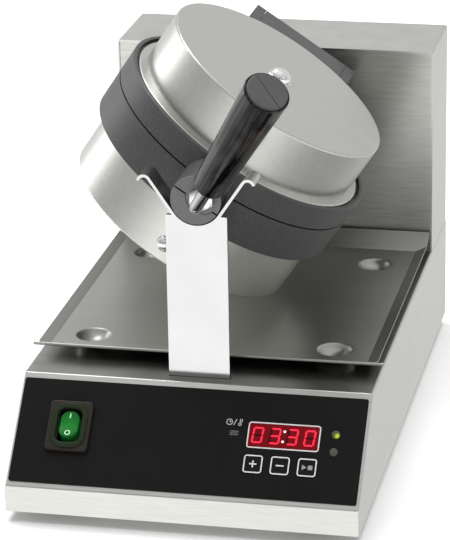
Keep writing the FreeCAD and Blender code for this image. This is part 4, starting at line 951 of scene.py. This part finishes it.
@dataclass
class CableGland:
    """The gland at the back: a six-sided foot under a ribbed dome nut with an open throat."""

    spot: Vector = point(83.0, 227.0, 44.0)
    flats: float = 24.0 * MM
    foot: float = 6.0 * MM
    foot_low: Pair = (0.97, 0.4 * MM)
    foot_high: Pair = (0.95, 0.8 * MM)
    foot_edge: float = 0.3 * MM
    ribs: int = 16
    rib_band: Pair = (7.0 * MM, 16.0 * MM)
    rib_depth: float = 0.5 * MM
    rib_edge: float = 0.15 * MM
    rib_root: float = 8.0 * MM
    profile: tuple[Ring, ...] = (
        (10.4, -6.4), (10.4, -1.6), (8.9, -1.6), (8.9, 1.0), (10.9, 1.0), (10.9, 7.0), (9.3, 16.0),
        (9.0, 17.6), (8.8, 19.6), (8.3, 20.7), (7.9, 20.9), (4.2, 20.9), (3.6, 20.3), (3.6, 9.0))

    def barrel(self) -> Piece:
        """Return the dome nut with its ribs."""
        piece = Bench.turned("gland_barrel", in_metres(self.profile), 4 * self.ribs)
        low, high = self.rib_band
        turn = 2.0 * math.pi / self.ribs

        def groove(face: bmesh.types.BMFace) -> bool:
            """Return whether a face lies in a groove between two ribs."""
            middle = face.calc_center_median()
            share = (math.atan2(middle.y, middle.x) / turn) % 1.0
            outside = math.hypot(middle.x, middle.y) > self.rib_root
            return low < middle.z < high and outside and share < 0.5

        Bench.edit(piece)
        Bench.pick(piece, Part.FACES, groove)
        bpy.ops.mesh.inset(thickness=self.rib_edge, depth=-self.rib_depth)
        Bench.outward()
        return piece

    def build(self) -> None:
        """Build and dress the gland."""
        corner = hexagon_radius(self.flats)
        (low, low_rise), (high, high_drop) = self.foot_low, self.foot_high
        rings = [(corner * low, 0.0), (corner, low_rise), (corner, self.foot - high_drop),
                 (corner * high, self.foot)]
        nut = Bench.turned("gland_nut", rings, 6)
        Bench.settle(nut, spun(QUARTER, "Z"))
        Bench.soften(nut, self.foot_edge, 2)
        piece = Bench.smooth(Bench.joined("ribbed_gland", [self.barrel(), nut]))
        Bench.settle(piece, moved(*self.spot) @ spun(-QUARTER, "X"))
        plastic = Moulding("gland_plastic", (0.02, 0.02, 0.021), 0.45).material()
        fit(piece, plastic, "base", ["cable_gland"])


@dataclass
class FrontSupport:
    """The upright plate and the curled saddle under the drum's front hub."""

    def dress(self) -> None:
        """Dress the support in bright steel."""
        bright = BrightSteel("support_steel", 0.53, 0.20).material()
        dress_nodes(bright, "support_plate", "saddle")
        dress_nodes(BrightSteel("bracket_steel", 0.5, 0.35).material(), "support_bracket")


@dataclass
class DripTray:
    """The loose tray under the drum."""

    def dress(self) -> None:
        """Dress the tray in a darker rubbed sheet."""
        dress_nodes(SheetSteel("tray_sheet", 0.43, 0.36, Grain.ACROSS, 0.04).material(), "drip_tray")


@dataclass
class Drum:
    """The two cast plates with their covers, and the bearing behind them."""

    seat: DrumFrame = DrumFrame()
    hub_face: float = -136.1 * MM

    def dress(self) -> None:
        """Dress the drum's castings, covers and inner works."""
        satin = SheetSteel("satin_cover", 0.62, 0.34, Grain.ACROSS, 0.05, self.seat.tilt,
                           self.seat.axis_height)
        dress_nodes(satin.material(), "upper_cover", "lower_cover")
        casting = CastMetal("dark_casting", machined=self.hub_face).material()
        dress_nodes(casting, "upper_plate", "lower_plate", "hinge_block", "carrier_yoke")
        chrome = BrightSteel("chrome_fastener", 0.85, 0.08).material()
        dress_nodes(chrome, "lower_cover_screw")
        turned = BrightSteel("machined_steel", 0.5, 0.32).material()
        dress_nodes(turned, "main_shaft", "hinge_pin", "stop_cam", "stop_pins", "bearing_block")
        dress_nodes(BrightSteel("heater_sheath", 0.16, 0.42).material(), "upper_heater", "lower_heater")
        bronze = CastMetal("bronze_bush", 0.3, 0.35, 1.0).material()
        dress_nodes(bronze, "hinge_bushes", "shaft_bushes")
        dress_nodes(Fibre("mineral_wool").material(), "upper_insulation", "lower_insulation")
        dress_nodes(Moulding("sensor_ceramic", (0.7, 0.68, 0.62), 0.55).material(), "upper_sensor",
                    "lower_sensor")


@dataclass
class CapBolts:
    """The low domed bolts in the middle of the two covers, each on a washer."""

    seat: DrumFrame = DrumFrame()
    upper: Pair = (12.0 * MM, 59.39 * MM)
    lower: Pair = (16.0 * MM, 66.31 * MM)
    shank: float = 4.0 * MM
    washer: float = 9.4 * MM
    washer_thick: float = 1.0 * MM
    washer_edge: float = 0.3 * MM
    neck: float = 7.4 * MM
    dome: float = 8.4 * MM
    dome_foot: float = 0.6 * MM
    dome_rise: float = 5.4 * MM
    steps: int = 10
    sides: int = 64

    def bolt(self, name: str, foot: float, top: float) -> Piece:
        """Return one bolt, standing on its own axis.

        Args:
            name: The piece's name.
            foot: How high its shank begins.
            top: How high its washer lies.

        Returns:
            The bolt.
        """
        edge, seat = self.washer_edge, top + self.washer_thick
        rings = [(self.shank, foot), (self.shank, top), (self.washer, top), (self.washer, seat - edge),
                 (self.washer - edge, seat), (self.neck, seat), (self.neck, seat + self.dome_foot)]
        for step in range(self.steps):
            angle = QUARTER * step / self.steps
            rise = self.dome_foot + self.dome_rise * math.sin(angle)
            rings.append((self.dome * math.cos(angle), seat + rise))
        return Bench.smooth(Bench.turned(name, rings, self.sides))

    def build(self) -> None:
        """Build and dress the bolts."""
        chrome = BrightSteel("cap_chrome", 0.85, 0.10).material()
        upper = Bench.settle(self.bolt("upper_dome_bolt", *self.upper), self.seat.place())
        fit(upper, chrome, "lid", ["upper_cap_bolt"])
        over = self.seat.place() @ spun(math.pi, "X")
        lower = Bench.settle(self.bolt("lower_dome_bolt", *self.lower), over)
        fit(lower, chrome, "drum", ["lower_cap_bolt"])


@dataclass
class Handle:
    """The tapered grip on the bent rod, with its end cap."""

    seat: DrumFrame = DrumFrame()
    boss: Vector = point(3.0, 0.0, 5.0)
    skew: float = math.radians(-2.5)
    bend: Vector = point(0.0, -163.0, 0.0)
    lean: float = math.radians(29.6)
    exposed: float = 31.5 * MM
    length: float = 110.0 * MM
    root_radius: float = 11.5 * MM
    end_radius: float = 15.6 * MM
    root_edge: float = 2.0 * MM
    root_steps: int = 6
    rim: float = 1.0 * MM
    groove: float = 1.6 * MM
    cap_thick: float = 4.0 * MM
    cap_gap: float = 0.6 * MM
    cap_crown: tuple[Pair, ...] = ((0.0, 0.7), (0.2, 0.25), (0.6, 0.0))
    nut_seat: Vector = point(0.0, -136.3, 0.0)
    nut_flats: float = 16.0 * MM
    nut_height: float = 7.0 * MM
    nut_face: float = 0.46
    nut_slant: float = 0.14
    nut_edge: float = 0.15 * MM
    lathe_room: float = 1.01
    seam_width: float = 0.45 * MM
    seam_depth: float = 0.35 * MM
    seam_angle: float = math.radians(62.0)

    def root(self) -> Matrix:
        """Return the handle's frame, in which its rod leaves the hub along -Y."""
        return self.seat.place() @ moved(*self.boss) @ spun(self.skew, "Y")

    def place(self) -> Matrix:
        """Return the grip's frame: its root at the origin, its axis along Z."""
        bent = moved(*self.bend) @ spun(self.lean, "X")
        return self.root() @ bent @ moved(z=self.exposed)

    def nut(self) -> Piece:
        """Return the lock nut: six-sided, with its corners turned off at both faces."""
        corner, high = hexagon_radius(self.nut_flats), self.nut_height
        piece = Bench.turned("lock_nut", [(corner, 0.0), (corner, high)], 6)
        face, slant, room = self.nut_face * self.nut_flats, self.nut_slant * high, self.lathe_room * corner
        rings = [(face, 0.0), (room, slant), (room, high - slant), (face, high)]
        Bench.keep_common(piece, Bench.turned("lathe", rings))
        Bench.soften(piece, self.nut_edge, 2)
        upright = spun(QUARTER, "X") @ spun(QUARTER, "Z")
        return Bench.settle(piece, self.root() @ moved(*self.nut_seat) @ upright)

    def grip(self) -> Piece:
        """Return the tapered grip with its rolled root and recessed end."""
        edge = self.root_edge
        rings = [(self.root_radius - edge, 0.0)]
        for step in range(1, self.root_steps + 1):
            angle = QUARTER * step / self.root_steps
            rings.append((self.root_radius - edge + edge * math.sin(angle), edge - edge * math.cos(angle)))
        top = self.length + self.cap_thick - self.groove
        rings += [(self.end_radius, self.length), (self.end_radius, top - self.rim / 2)]
        rings += [(self.end_radius - self.rim / 2, top), (self.end_radius - self.rim, top)]
        rings += [(self.end_radius - self.rim, self.length)]
        return Bench.settle(Bench.smooth(Bench.turned("grip", rings)), self.place())

    def cap(self) -> Piece:
        """Return the end cap: a slightly crowned disc with a moulding seam across it."""
        top = self.length + self.cap_thick
        radius = self.end_radius - self.rim - self.cap_gap
        rings = [(radius, self.length)]
        rings += [(radius - inset, top - drop) for inset, drop in in_metres(self.cap_crown)]
        piece = Bench.turned("grip_end", rings)
        across = Vector((math.cos(self.seam_angle), math.sin(self.seam_angle), 0.0))
        half = self.seam_width / 2
        Bench.sink(piece, self.seam_depth, [(across, -half), (across, half)],
                   lambda middle: abs(middle.dot(across)) < half)
        return Bench.settle(Bench.smooth(piece), self.place())

    def build(self) -> None:
        """Build and dress the handle."""
        black = Bakelite("grip_bakelite", self.place()).material()
        matt = Moulding("cap_plastic", grey(0.06), 0.45, 1300.0, 0.12).material()
        fit(self.grip(), black, "lid", ["handle_grip"])
        fit(self.cap(), matt, "lid", ["grip_cap"])
        chrome = BrightSteel("handle_chrome", 0.60, 0.12).material()
        fit(self.nut(), chrome, "lid", ["handle_nut"])
        dress_nodes(chrome, "handle_rod")


class Segment(Enum):
    """The seven bars of a digit: place across and up in half sizes, and whether it stands upright."""

    TOP = (0, 2, False)
    TOP_LEFT = (-1, 1, True)
    TOP_RIGHT = (1, 1, True)
    MIDDLE = (0, 0, False)
    LOW_LEFT = (-1, -1, True)
    LOW_RIGHT = (1, -1, True)
    LOW = (0, -2, False)


DIGITS = {
    "0": tuple(segment for segment in Segment if segment is not Segment.MIDDLE),
    "3": (Segment.TOP, Segment.TOP_RIGHT, Segment.MIDDLE, Segment.LOW_RIGHT, Segment.LOW),
}


@dataclass
class PrintedFace:
    """A part of the control panel that carries printed or lit marks."""

    panel: PanelFrame = PanelFrame()
    ink: float = 0.1 * MM

    def block(self, name: str, size: Pair, corner: float, steps: int = 6, line: float = 0.0) -> Piece:
        """Return a printed block or, where a line's width is given, the line round it.

        Args:
            name: The piece's name.
            size: Its width and height.
            corner: The radius of its corners.
            steps: How many steps each corner has.
            line: The line's width, or 0 for the whole block.

        Returns:
            The mark, flat and facing up.
        """
        piece = Bench.plaque(name, *size, corner, steps)
        if line:
            Bench.hollow(piece, line)
        return Bench.thicken(piece, self.ink)

    def hoop(self, name: str, radius: float, line: float) -> Piece:
        """Return a printed ring.

        Args:
            name: The piece's name.
            radius: Its outer radius.
            line: Its line's width.

        Returns:
            The ring, flat and facing up.
        """
        piece = Bench.disc(name, radius, RING_SIDES)
        Bench.hollow(piece, line)
        return Bench.thicken(piece, self.ink)


@dataclass
class Display(PrintedFace):
    """The timer's window with its digits and its printed outline."""

    across: float = 66.9 * MM
    up: float = 49.8 * MM
    width: float = 50.9 * MM
    height: float = 19.4 * MM
    corner: float = 2.2 * MM
    line: float = 0.85 * MM
    ink: float = 0.12 * MM
    digit_width: float = 6.4 * MM
    digit_height: float = 10.8 * MM
    stroke: float = 1.35 * MM
    gap: float = 0.25 * MM
    pitch: float = 12.2 * MM
    slant: float = math.radians(5.0)
    dot: float = 0.85 * MM
    dot_rise: float = 3.8 * MM
    dot_tip: float = 0.7
    dot_sides: int = 24
    reading: str = "0330"

    def place(self) -> Matrix:
        """Return the middle of the window's face."""
        return self.panel.place(self.across, self.up, self.panel.fascia)

    def outline(self) -> Piece:
        """Return the white line round the window."""
        return self.block("display_outline", (self.width, self.height), self.corner, line=self.line)

    def bar(self, length: float) -> Piece:
        """Return one bar of a digit: a flat hexagon with pointed ends.

        Args:
            length: The bar's length, tip to tip.

        Returns:
            The bar, lying along X.
        """
        tip = hexagon_radius(self.stroke)
        piece = Bench.settle(Bench.disc("bar", tip, 6), spun(QUARTER / 3, "Z"))
        spread = length / 2 - tip
        for side in (-1.0, 1.0):
            Bench.edit(piece)
            Bench.pick(piece, Part.CORNERS, lambda corner: corner.co.x * side > HAIR)
            bpy.ops.transform.translate(value=(side * spread, 0.0, 0.0))
            bpy.ops.object.mode_set(mode="OBJECT")
        return piece

    def segments(self, name: str, lit: bool) -> Piece:
        """Return all lit or all dark bars of the reading as one piece.

        Args:
            name: The piece's name.
            lit: Whether the lit ones are wanted.

        Returns:
            The bars, flat and facing up.
        """
        half_wide, half_high = self.digit_width / 2, self.digit_height / 4
        bars = []
        for place, digit in enumerate(self.reading):
            middle = (place - (len(self.reading) - 1) / 2) * self.pitch
            for segment in Segment:
                if (segment in DIGITS[digit]) is not lit:
                    continue
                across, up, upright = segment.value
                length = (self.digit_height / 2 if upright else self.digit_width) - self.gap
                turn = spun(QUARTER, "Z") if upright else Matrix.Identity(4)
                spot = moved(middle + across * half_wide, up * half_high)
                bars.append(Bench.settle(self.bar(length), spot @ turn))
        piece = Bench.joined(name, bars)
        lean = Matrix.Identity(4)
        lean[0][1] = math.tan(self.slant)
        piece.data.transform(lean)
        return Bench.thicken(piece, self.ink)

    def colon(self) -> Piece:
        """Return the two dots between hours and minutes."""
        rings = [(self.dot, 0.0), (self.dot, self.ink / 2), (self.dot * self.dot_tip, self.ink)]
        dot = Bench.turned("dot", rings, self.dot_sides)
        tip = math.tan(self.slant)
        spots = [moved(rise * tip, rise) for rise in (-self.dot_rise, self.dot_rise)]
        return Bench.joined("display_colon", Bench.copies(dot, spots))

    def build(self) -> None:
        """Build and dress the display."""
        ink = Ink("white_ink").material()
        red = Glow("lit_segment", (0.3, 0.008, 0.02), (0.72, 0.020, 0.048), 0.78, reach=10.0, gloss=0.1)
        dark = Moulding("dark_segment", (0.035, 0.001, 0.002), 0.4, gloss=0.1)
        dots = Glow("lit_dot", (0.8, 0.6, 0.6), (1.0, 0.72, 0.72), 0.9, reach=10.0)
        fit(Bench.settle(self.outline(), self.place()), ink, "base")
        for piece, finish in ((self.segments("display_digits", True), red),
                              (self.segments("display_dark_bars", False), dark), (self.colon(), dots)):
            fit(Bench.settle(piece, self.place()), finish.material(), "base")
        glass = Moulding("display_glass", (0.17, 0.003, 0.007), 0.14, 800.0, 0.01, 0.0, 0.08)
        dress_nodes(glass.material(), "display_window")


@dataclass
class Keys(PrintedFace):
    """The three pressed keys and the signs printed on them."""

    middle: float = 66.9 * MM
    pitch: float = 18.9 * MM
    up: float = 28.2 * MM
    top: float = 1.4 * MM
    size: float = 13.2 * MM
    corner: float = 2.0 * MM
    line: float = 0.9 * MM
    sign: float = 5.2 * MM
    stroke: float = 0.95 * MM
    stroke_corner: float = 0.2 * MM
    minus_share: float = 1.1
    arrow: float = 2.2 * MM
    arrow_shift: float = -2.4 * MM
    square: float = 3.2 * MM
    square_corner: float = 0.3 * MM
    square_shift: float = 2.3 * MM

    def place(self, step: int) -> Matrix:
        """Return the place of one key's top, counted from the middle key."""
        return self.panel.place(self.middle + step * self.pitch, self.up, self.top)

    def bar(self, length: float, turn: float = 0.0) -> Piece:
        """Return one printed stroke, turned on the key."""
        piece = self.block("stroke", (length, self.stroke), self.stroke_corner, 3)
        return Bench.settle(piece, spun(turn, "Z"))

    def outline(self, name: str) -> Piece:
        """Return the line round a key's edge."""
        return self.block(name, (self.size, self.size), self.corner, line=self.line)

    def plus(self) -> list[Piece]:
        """Return the strokes of a plus sign."""
        side = self.bar((self.sign - self.stroke) / 2)
        reach = (self.sign + self.stroke) / 4
        spots = [moved(shift) for shift in (-reach, reach)]
        return [self.bar(self.sign, QUARTER)] + Bench.copies(side, spots)

    def minus(self) -> list[Piece]:
        """Return the stroke of a minus sign."""
        return [self.bar(self.sign * self.minus_share)]

    def start_stop(self) -> list[Piece]:
        """Return a start triangle beside a stop square."""
        arrow = Bench.thicken(Bench.disc("arrow", self.arrow, 3), self.ink)
        square = self.block("square", (self.square, self.square), self.square_corner, 3)
        return [Bench.settle(arrow, moved(self.arrow_shift) @ spun(-QUARTER, "Z")),
                Bench.settle(square, moved(self.square_shift))]

    def build(self) -> None:
        """Build and dress the keys."""
        bright, dull = Ink("key_ink").material(), Ink("dull_ink", grey(0.30)).material()
        keys = [("key_plus", -1, self.plus, bright), ("key_minus", 0, self.minus, bright),
                ("key_start", 1, self.start_stop, dull)]
        for body, step, sign, ink in keys:
            fit(Bench.settle(self.outline(f"{body}_outline"), self.place(step)), bright, body)
            fit(Bench.settle(Bench.joined(f"{body}_sign", sign()), self.place(step)), ink, body)
        film = Moulding("key_film", grey(0.009), 0.55, 1500.0, 0.1, gloss=0.08).material()
        dress_nodes(film, "key_plus", "key_minus", "key_start")


@dataclass
class Fascia(PrintedFace):
    """The black control plate with its small marks and the lamps."""

    marks_across: float = 31.9 * MM
    clock_up: float = 58.2 * MM
    set_up: float = 50.2 * MM
    clock: float = 2.3 * MM
    clock_shift: float = -4.2 * MM
    slash_shift: float = -0.2 * MM
    slash_lean: float = math.radians(68.0)
    slash_share: float = 2.2
    heat_shift: float = 3.2 * MM
    short_hand: float = 0.5
    long_hand: float = 0.6
    hand_lean: float = math.radians(60.0)
    bulb: float = 1.2 * MM
    bulb_rise: float = 1.3 * MM
    stem: float = 2.8 * MM
    tick: float = 1.0 * MM
    tick_rows: tuple[float, ...] = (0.5 * MM, 1.4 * MM, 2.3 * MM)
    slider: float = 6.2 * MM
    knob: float = 1.1 * MM
    knob_proud: float = 0.02 * MM
    sliders: tuple[Pair, ...] = ((-1.3, -1.6), (0.0, 1.2), (1.3, -0.6))
    line: float = 0.5 * MM
    lamps_across: float = 102.9 * MM
    lamp_up: float = 53.8 * MM
    lamp_aside: float = 1.3 * MM
    lamp_reach: float = 2.4 * MM

    def stroke(self, length: float, place: Matrix) -> Piece:
        """Return a printed stroke at its place on a mark."""
        return Bench.settle(self.block("stroke", (length, self.line), self.line / 4, 2), place)

    def clock_mark(self) -> Piece:
        """Return the sign for time: a clock face with two hands."""
        short, long = self.clock * self.short_hand, self.clock * self.long_hand
        hands = [self.stroke(short, moved(short / 2)),
                 self.stroke(long, spun(self.hand_lean, "Z") @ moved(long / 2))]
        return Bench.joined("clock_mark", [self.hoop("ring", self.clock, self.line)] + hands)

    def heat_mark(self) -> Piece:
        """Return the sign for heat: a small thermometer."""
        bulb = Bench.settle(self.hoop("ring", self.bulb, self.line), moved(y=-self.bulb_rise))
        stem = self.stroke(self.stem, moved(y=self.bulb_rise) @ spun(QUARTER, "Z"))
        ticks = [self.stroke(self.tick, moved(self.bulb_rise, row)) for row in self.tick_rows]
        return Bench.joined("heat_mark", [bulb, stem] + ticks)

    def slash(self) -> Piece:
        """Return the stroke between the signs for time and heat."""
        stroke = self.stroke(self.slash_share * self.clock, spun(self.slash_lean, "Z"))
        return Bench.joined("mark_slash", [stroke])

    def set_mark(self) -> Piece:
        """Return the sign for setting: three sliders."""
        rows = in_metres(self.sliders)
        parts = [self.stroke(self.slider, moved(y=up)) for up, _ in rows]
        parts += [self.stroke(self.knob, moved(across, up, self.knob_proud) @ spun(QUARTER, "Z"))
                  for up, across in rows]
        return Bench.joined("set_mark", parts)

    def build(self) -> None:
        """Build and dress the control plate."""
        ink, dull = Ink("mark_ink", grey(0.55)).material(), Ink("set_ink", grey(0.16)).material()
        out = self.panel.fascia
        at = self.marks_across
        for mark, shift in ((self.clock_mark(), self.clock_shift), (self.slash(), self.slash_shift),
                            (self.heat_mark(), self.heat_shift)):
            fit(Bench.settle(mark, self.panel.place(at + shift, self.clock_up, out)), ink, "base")
        fit(Bench.settle(self.set_mark(), self.panel.place(at, self.set_up, out)), dull, "base")
        film = Moulding("fascia_film", grey(0.008), 0.55, 1600.0, 0.08, gloss=0.08)
        dress_nodes(film.material(), "control_fascia")
        aside = self.lamp_aside
        spot = self.panel.place(self.lamps_across + aside, self.lamp_up - aside, 2.0 * out).translation
        lit = Glow("lamp_green", (0.035, 0.035, 0.028), (0.42, 0.62, 0.03), 0.6, tuple(spot),
                   self.lamp_reach, fringe=0.02)
        dress_nodes(lit.material(), "lamp_upper")
        clear = Moulding("lamp_clear", (0.06, 0.052, 0.042), 0.25, 600.0, 0.05, 0.3)
        dress_nodes(clear.material(), "lamp_lower")


@dataclass
class RockerSwitch(PrintedFace):
    """The lit rocker with its frame and its on and off marks."""

    across: float = -85.0 * MM
    up: float = 46.2 * MM
    pivot: float = -3.0 * MM
    crest: float = 6.5 * MM
    slope: float = math.radians(7.0)
    pill_width: float = 13.4 * MM
    pill_length: float = 20.6 * MM
    pill_corner: float = 6.2 * MM
    pill_steps: int = 10
    pill_root: float = -1.0 * MM
    pill_edge: float = 0.6 * MM
    pill_edge_steps: int = 4
    pill_edge_angle: float = 40.0
    dip: float = 2.5 * MM
    rows: tuple[float, ...] = (0.0, 1.2 * MM, 2.5 * MM, 4.0 * MM)
    on_reach: float = 6.7 * MM
    off_reach: float = 6.8 * MM
    ink: float = 0.12 * MM
    bar_length: float = 3.8 * MM
    bar_width: float = 0.9 * MM
    bar_corner: float = 0.25 * MM
    ring: float = 2.1 * MM
    ring_line: float = 0.75 * MM
    rim_width: float = 25.4 * MM
    rim_height: float = 33.4 * MM
    rim_line: float = 3.8 * MM
    rim_corner: float = 9.2 * MM
    rim_proud: float = 1.1 * MM
    rim_edge: float = 1.0 * MM
    rim_edge_steps: int = 5
    bezel_top: float = 4.2 * MM
    lamp_reach: float = 14.0 * MM

    def rest(self) -> Matrix:
        """Return the rocker's own frame, as it rests."""
        return self.panel.place(self.across, self.up, self.pivot) @ spun(-self.slope, "X")

    def face(self, side: float, reach: float) -> Matrix:
        """Return a place on the face's upper half (side 1) or lower half (side -1), with Z out of it."""
        return self.rest() @ moved(z=self.crest) @ spun(side * self.slope, "X") @ moved(y=side * reach)

    def rise(self, reach: float) -> float:
        """Return how high the rocker's face stands at a distance from its middle, with a soft dip there."""
        flat = min(abs(reach), self.dip)
        return math.tan(self.slope) * (abs(reach) - flat + flat * flat / (2.0 * self.dip) + self.dip / 2.0)

    def pill(self) -> Piece:
        """Return the rocker: a pill with a dipped face and rounded edges."""
        size = self.pill_width, self.pill_length
        piece = Bench.plaque("rocker_pill", *size, self.pill_corner, self.pill_steps)
        Bench.settle(piece, moved(z=self.pill_root))
        Bench.edit(piece)
        Bench.pull(self.crest - self.pill_root)
        Bench.outward()
        rows = sorted({side * row for row in self.rows for side in (-1.0, 1.0)})
        top = Bench.score(piece, [(Vector((0.0, 1.0, 0.0)), row) for row in rows])
        levels = {round(abs(corner.co.y), 6) for corner in piece.data.vertices if corner.co.z > top}
        for level in levels:
            Bench.edit(piece)
            Bench.pick(piece, Part.CORNERS, lambda corner: top < corner.co.z < top + 2.0 * HAIR
                       and abs(abs(corner.co.y) - level) < 0.2 * HAIR)
            bpy.ops.transform.translate(value=(0.0, 0.0, self.rise(level)))
            bpy.ops.object.mode_set(mode="OBJECT")
        Bench.soften(piece, self.pill_edge, self.pill_edge_steps, self.pill_edge_angle)
        return Bench.settle(piece, self.rest())

    def on_mark(self) -> Piece:
        """Return the upright bar of the on end."""
        piece = self.block("rocker_on_mark", (self.bar_width, self.bar_length), self.bar_corner, 3)
        return Bench.settle(piece, self.face(1.0, self.on_reach))

    def off_mark(self) -> Piece:
        """Return the ring of the off end."""
        piece = self.hoop("rocker_off_mark", self.ring, self.ring_line)
        return Bench.settle(piece, self.face(-1.0, self.off_reach))

    def rim(self) -> Piece:
        """Return the raised rim round the rocker's mouth."""
        piece = Bench.plaque("switch_rim", self.rim_width, self.rim_height, self.rim_corner)
        Bench.hollow(piece, self.rim_line)
        Bench.thicken(piece, self.rim_proud)
        Bench.soften(piece, self.rim_edge, self.rim_edge_steps)
        return Bench.settle(piece, self.panel.place(self.across, self.up, self.bezel_top))

    def build(self) -> None:
        """Build and dress the switch."""
        ink = Ink("rocker_ink", (0.50, 0.84, 0.50)).material()
        for mark in (self.on_mark(), self.off_mark()):
            fit(mark, ink, "rocker")
        # The rim's olive colour is partly the green tint of its clear cover and partly a painted reflection
        # of the lit rocker's green light.
        rim_tint_and_sheen = Moulding("switch_rim_tint_and_sheen", (0.009, 0.019, 0.003), 0.22, 900.0, 0.03, 0.0, 0.26)
        fit(self.rim(), rim_tint_and_sheen.material(), "base")
        brown = Moulding("switch_frame", (0.022, 0.017, 0.014), 0.38, 900.0, 0.06, 0.0, 0.20)
        dress_nodes(brown.material(), "switch_bezel")
        middle = self.panel.place(self.across, self.up, 0.0).translation
        lit = Glow("rocker_green", (0.005, 0.062, 0.010), (0.010, 0.20, 0.026), 0.17, tuple(middle),
                   self.lamp_reach, gloss=0.10)
        fit(self.pill(), lit.material(), "rocker", ["rocker"])


@dataclass
class Studio:
    """The pale floor, the soft lights and the camera."""

    eye: Vector = point(413.9, -1946.2, 850.6)
    yaw: float = math.radians(12.279)
    pitch: float = math.radians(20.167)
    roll: float = math.radians(-1.0485)
    lens: float = 190.34
    sensor: float = 36.0
    floor_size: float = 14.0
    floor_corner: float = 0.5
    floor_grey: float = 0.95
    floor_contrast: float = 0.01
    peak: float = 2.5
    turnover: Pair = (-0.6, 0.7)
    front_sky: tuple[Pair, ...] = ((-1.0, 0.40), (-0.85, 0.45), (-0.7, 0.65), (-0.5, 1.55), (-0.34, 2.50),
                                   (-0.2, 1.65), (0.05, 0.55), (0.25, 0.50), (0.72, 0.80), (1.0, 0.95))
    back_sky: tuple[Pair, ...] = ((-1.0, 0.40), (-0.85, 0.50), (-0.5, 0.95), (-0.3, 1.10), (0.0, 1.00),
                                  (0.25, 0.88), (0.72, 0.95), (0.95, 1.40), (1.0, 1.40))
    target: Vector = point(0.0, 0.0, 180.0)

    def camera(self) -> None:
        """Set the camera at the photograph's viewing angle."""
        right = Vector((math.cos(self.yaw), math.sin(self.yaw), 0.0))
        level = Vector((-right.y, right.x, 0.0))
        ahead = math.cos(self.pitch) * level - math.sin(self.pitch) * Vector((0.0, 0.0, 1.0))
        over = right.cross(ahead)
        side = math.cos(self.roll) * right + math.sin(self.roll) * over
        top = math.cos(self.roll) * over - math.sin(self.roll) * right
        turn = Matrix((side, top, -ahead)).transposed().to_4x4()
        lens = bpy.data.cameras.new("photo_camera")
        lens.lens = self.lens
        lens.sensor_fit = "AUTO"
        lens.sensor_width = self.sensor
        camera = bpy.data.objects.new("photo_camera", lens)
        camera.matrix_world = moved(*self.eye) @ turn
        bpy.context.scene.collection.objects.link(camera)
        bpy.context.scene.camera = camera

    def floor(self) -> None:
        """Lay the pale floor."""
        piece = Bench.plaque("studio_floor", self.floor_size, self.floor_size, self.floor_corner)
        graph = Graph.of_material("pale_floor")
        clouds = graph.noise(graph.place(), scale=3.0)
        colour = graph.mix(clouds, grey(self.floor_grey - self.floor_contrast),
                           grey(self.floor_grey + self.floor_contrast))
        dress(piece, graph.close({"Base Color": colour, "Roughness": 0.7 + 0.1 * clouds}))
        piece.visible_glossy = False

    def softbox(self, name: str, place: Vector, size: Pair, radiance: float,
                mirrored: bool = True) -> None:
        """Hang one soft light.

        Args:
            name: The light's name.
            place: Where it hangs.
            size: Its width and height.
            radiance: How bright its face is.
            mirrored: Whether shiny surfaces show it.
        """
        light = bpy.data.lights.new(name, "AREA")
        light.shape = "RECTANGLE"
        light.size, light.size_y = size
        light.energy = radiance * math.pi * size[0] * size[1]
        lamp = bpy.data.objects.new(name, light)
        aim = self.target - place
        lamp.matrix_world = moved(*place) @ aim.to_track_quat("-Z", "Y").to_matrix().to_4x4()
        lamp.visible_glossy = mirrored
        bpy.context.scene.collection.objects.link(lamp)

    def sky(self) -> None:
        """Surround the scene with a pale light that changes with height, before and behind the object."""
        graph = Graph(bpy.data.worlds.new("studio"))
        way = graph.node("ShaderNodeTexCoord", output="Generated")
        depth = graph.node("ShaderNodeSeparateXYZ", {}, {0: way}, "Y")
        height = graph.node("ShaderNodeSeparateXYZ", {}, {0: way}, "Z")
        behind = graph.node("ShaderNodeMapRange", {"interpolation_type": "SMOOTHSTEP"},
                            {"Value": depth, "From Min": self.turnover[0], "From Max": self.turnover[1]})
        rise = 0.5 + 0.5 * height
        front, back = (graph.node("ShaderNodeValToRGB", {"stops": self.stops(levels)}, {0: rise})
                       for levels in (self.front_sky, self.back_sky))
        strength = self.peak * (front + (back - front) * behind)
        shade = graph.node("ShaderNodeBackground", {}, {"Strength": strength})
        graph.tree.links.new(shade.socket, graph.tree.nodes.new("ShaderNodeOutputWorld").inputs["Surface"])
        bpy.context.scene.world = graph.owner

    def stops(self, levels: Sequence[Pair]) -> list[Pair]:
        """Return a ramp's stops from the sine of each height and the light there."""
        return [(0.5 + 0.5 * height, light / self.peak) for height, light in levels]

    def lights(self) -> None:
        """Hang the soft lights: a wide one and a bright strip overhead, and a tall one on each side."""
        self.softbox("top_light", Vector((0.0, 0.3, 2.4)), (2.4, 2.4), 2.8, False)
        self.softbox("left_light", Vector((-1.41, 0.52, 0.45)), (0.75, 0.9), 1.9)
        self.softbox("edge_light", Vector((-0.73, 0.70, 2.4)), (1.6, 0.7), 5.0)
        self.softbox("right_light", Vector((1.9, -0.9, 1.1)), (0.4, 1.0), 0.8)

    def build(self) -> None:
        """Set up the whole studio."""
        self.camera()
        self.floor()
        self.sky()
        self.lights()
        bpy.context.scene.view_settings.view_transform = "Standard"


def main() -> None:
    """Build and dress the sub-assemblies in order."""
    logging.basicConfig(level=logging.INFO, format="%(message)s")
    Housing().dress()
    SheetScrews().build()
    Feet().build()
    CableGland().build()
    FrontSupport().dress()
    DripTray().dress()
    Drum().dress()
    CapBolts().build()
    Handle().build()
    Fascia().build()
    Display().build()
    Keys().build()
    RockerSwitch().build()
    Studio().build()


if __name__ == "__main__":
    main()
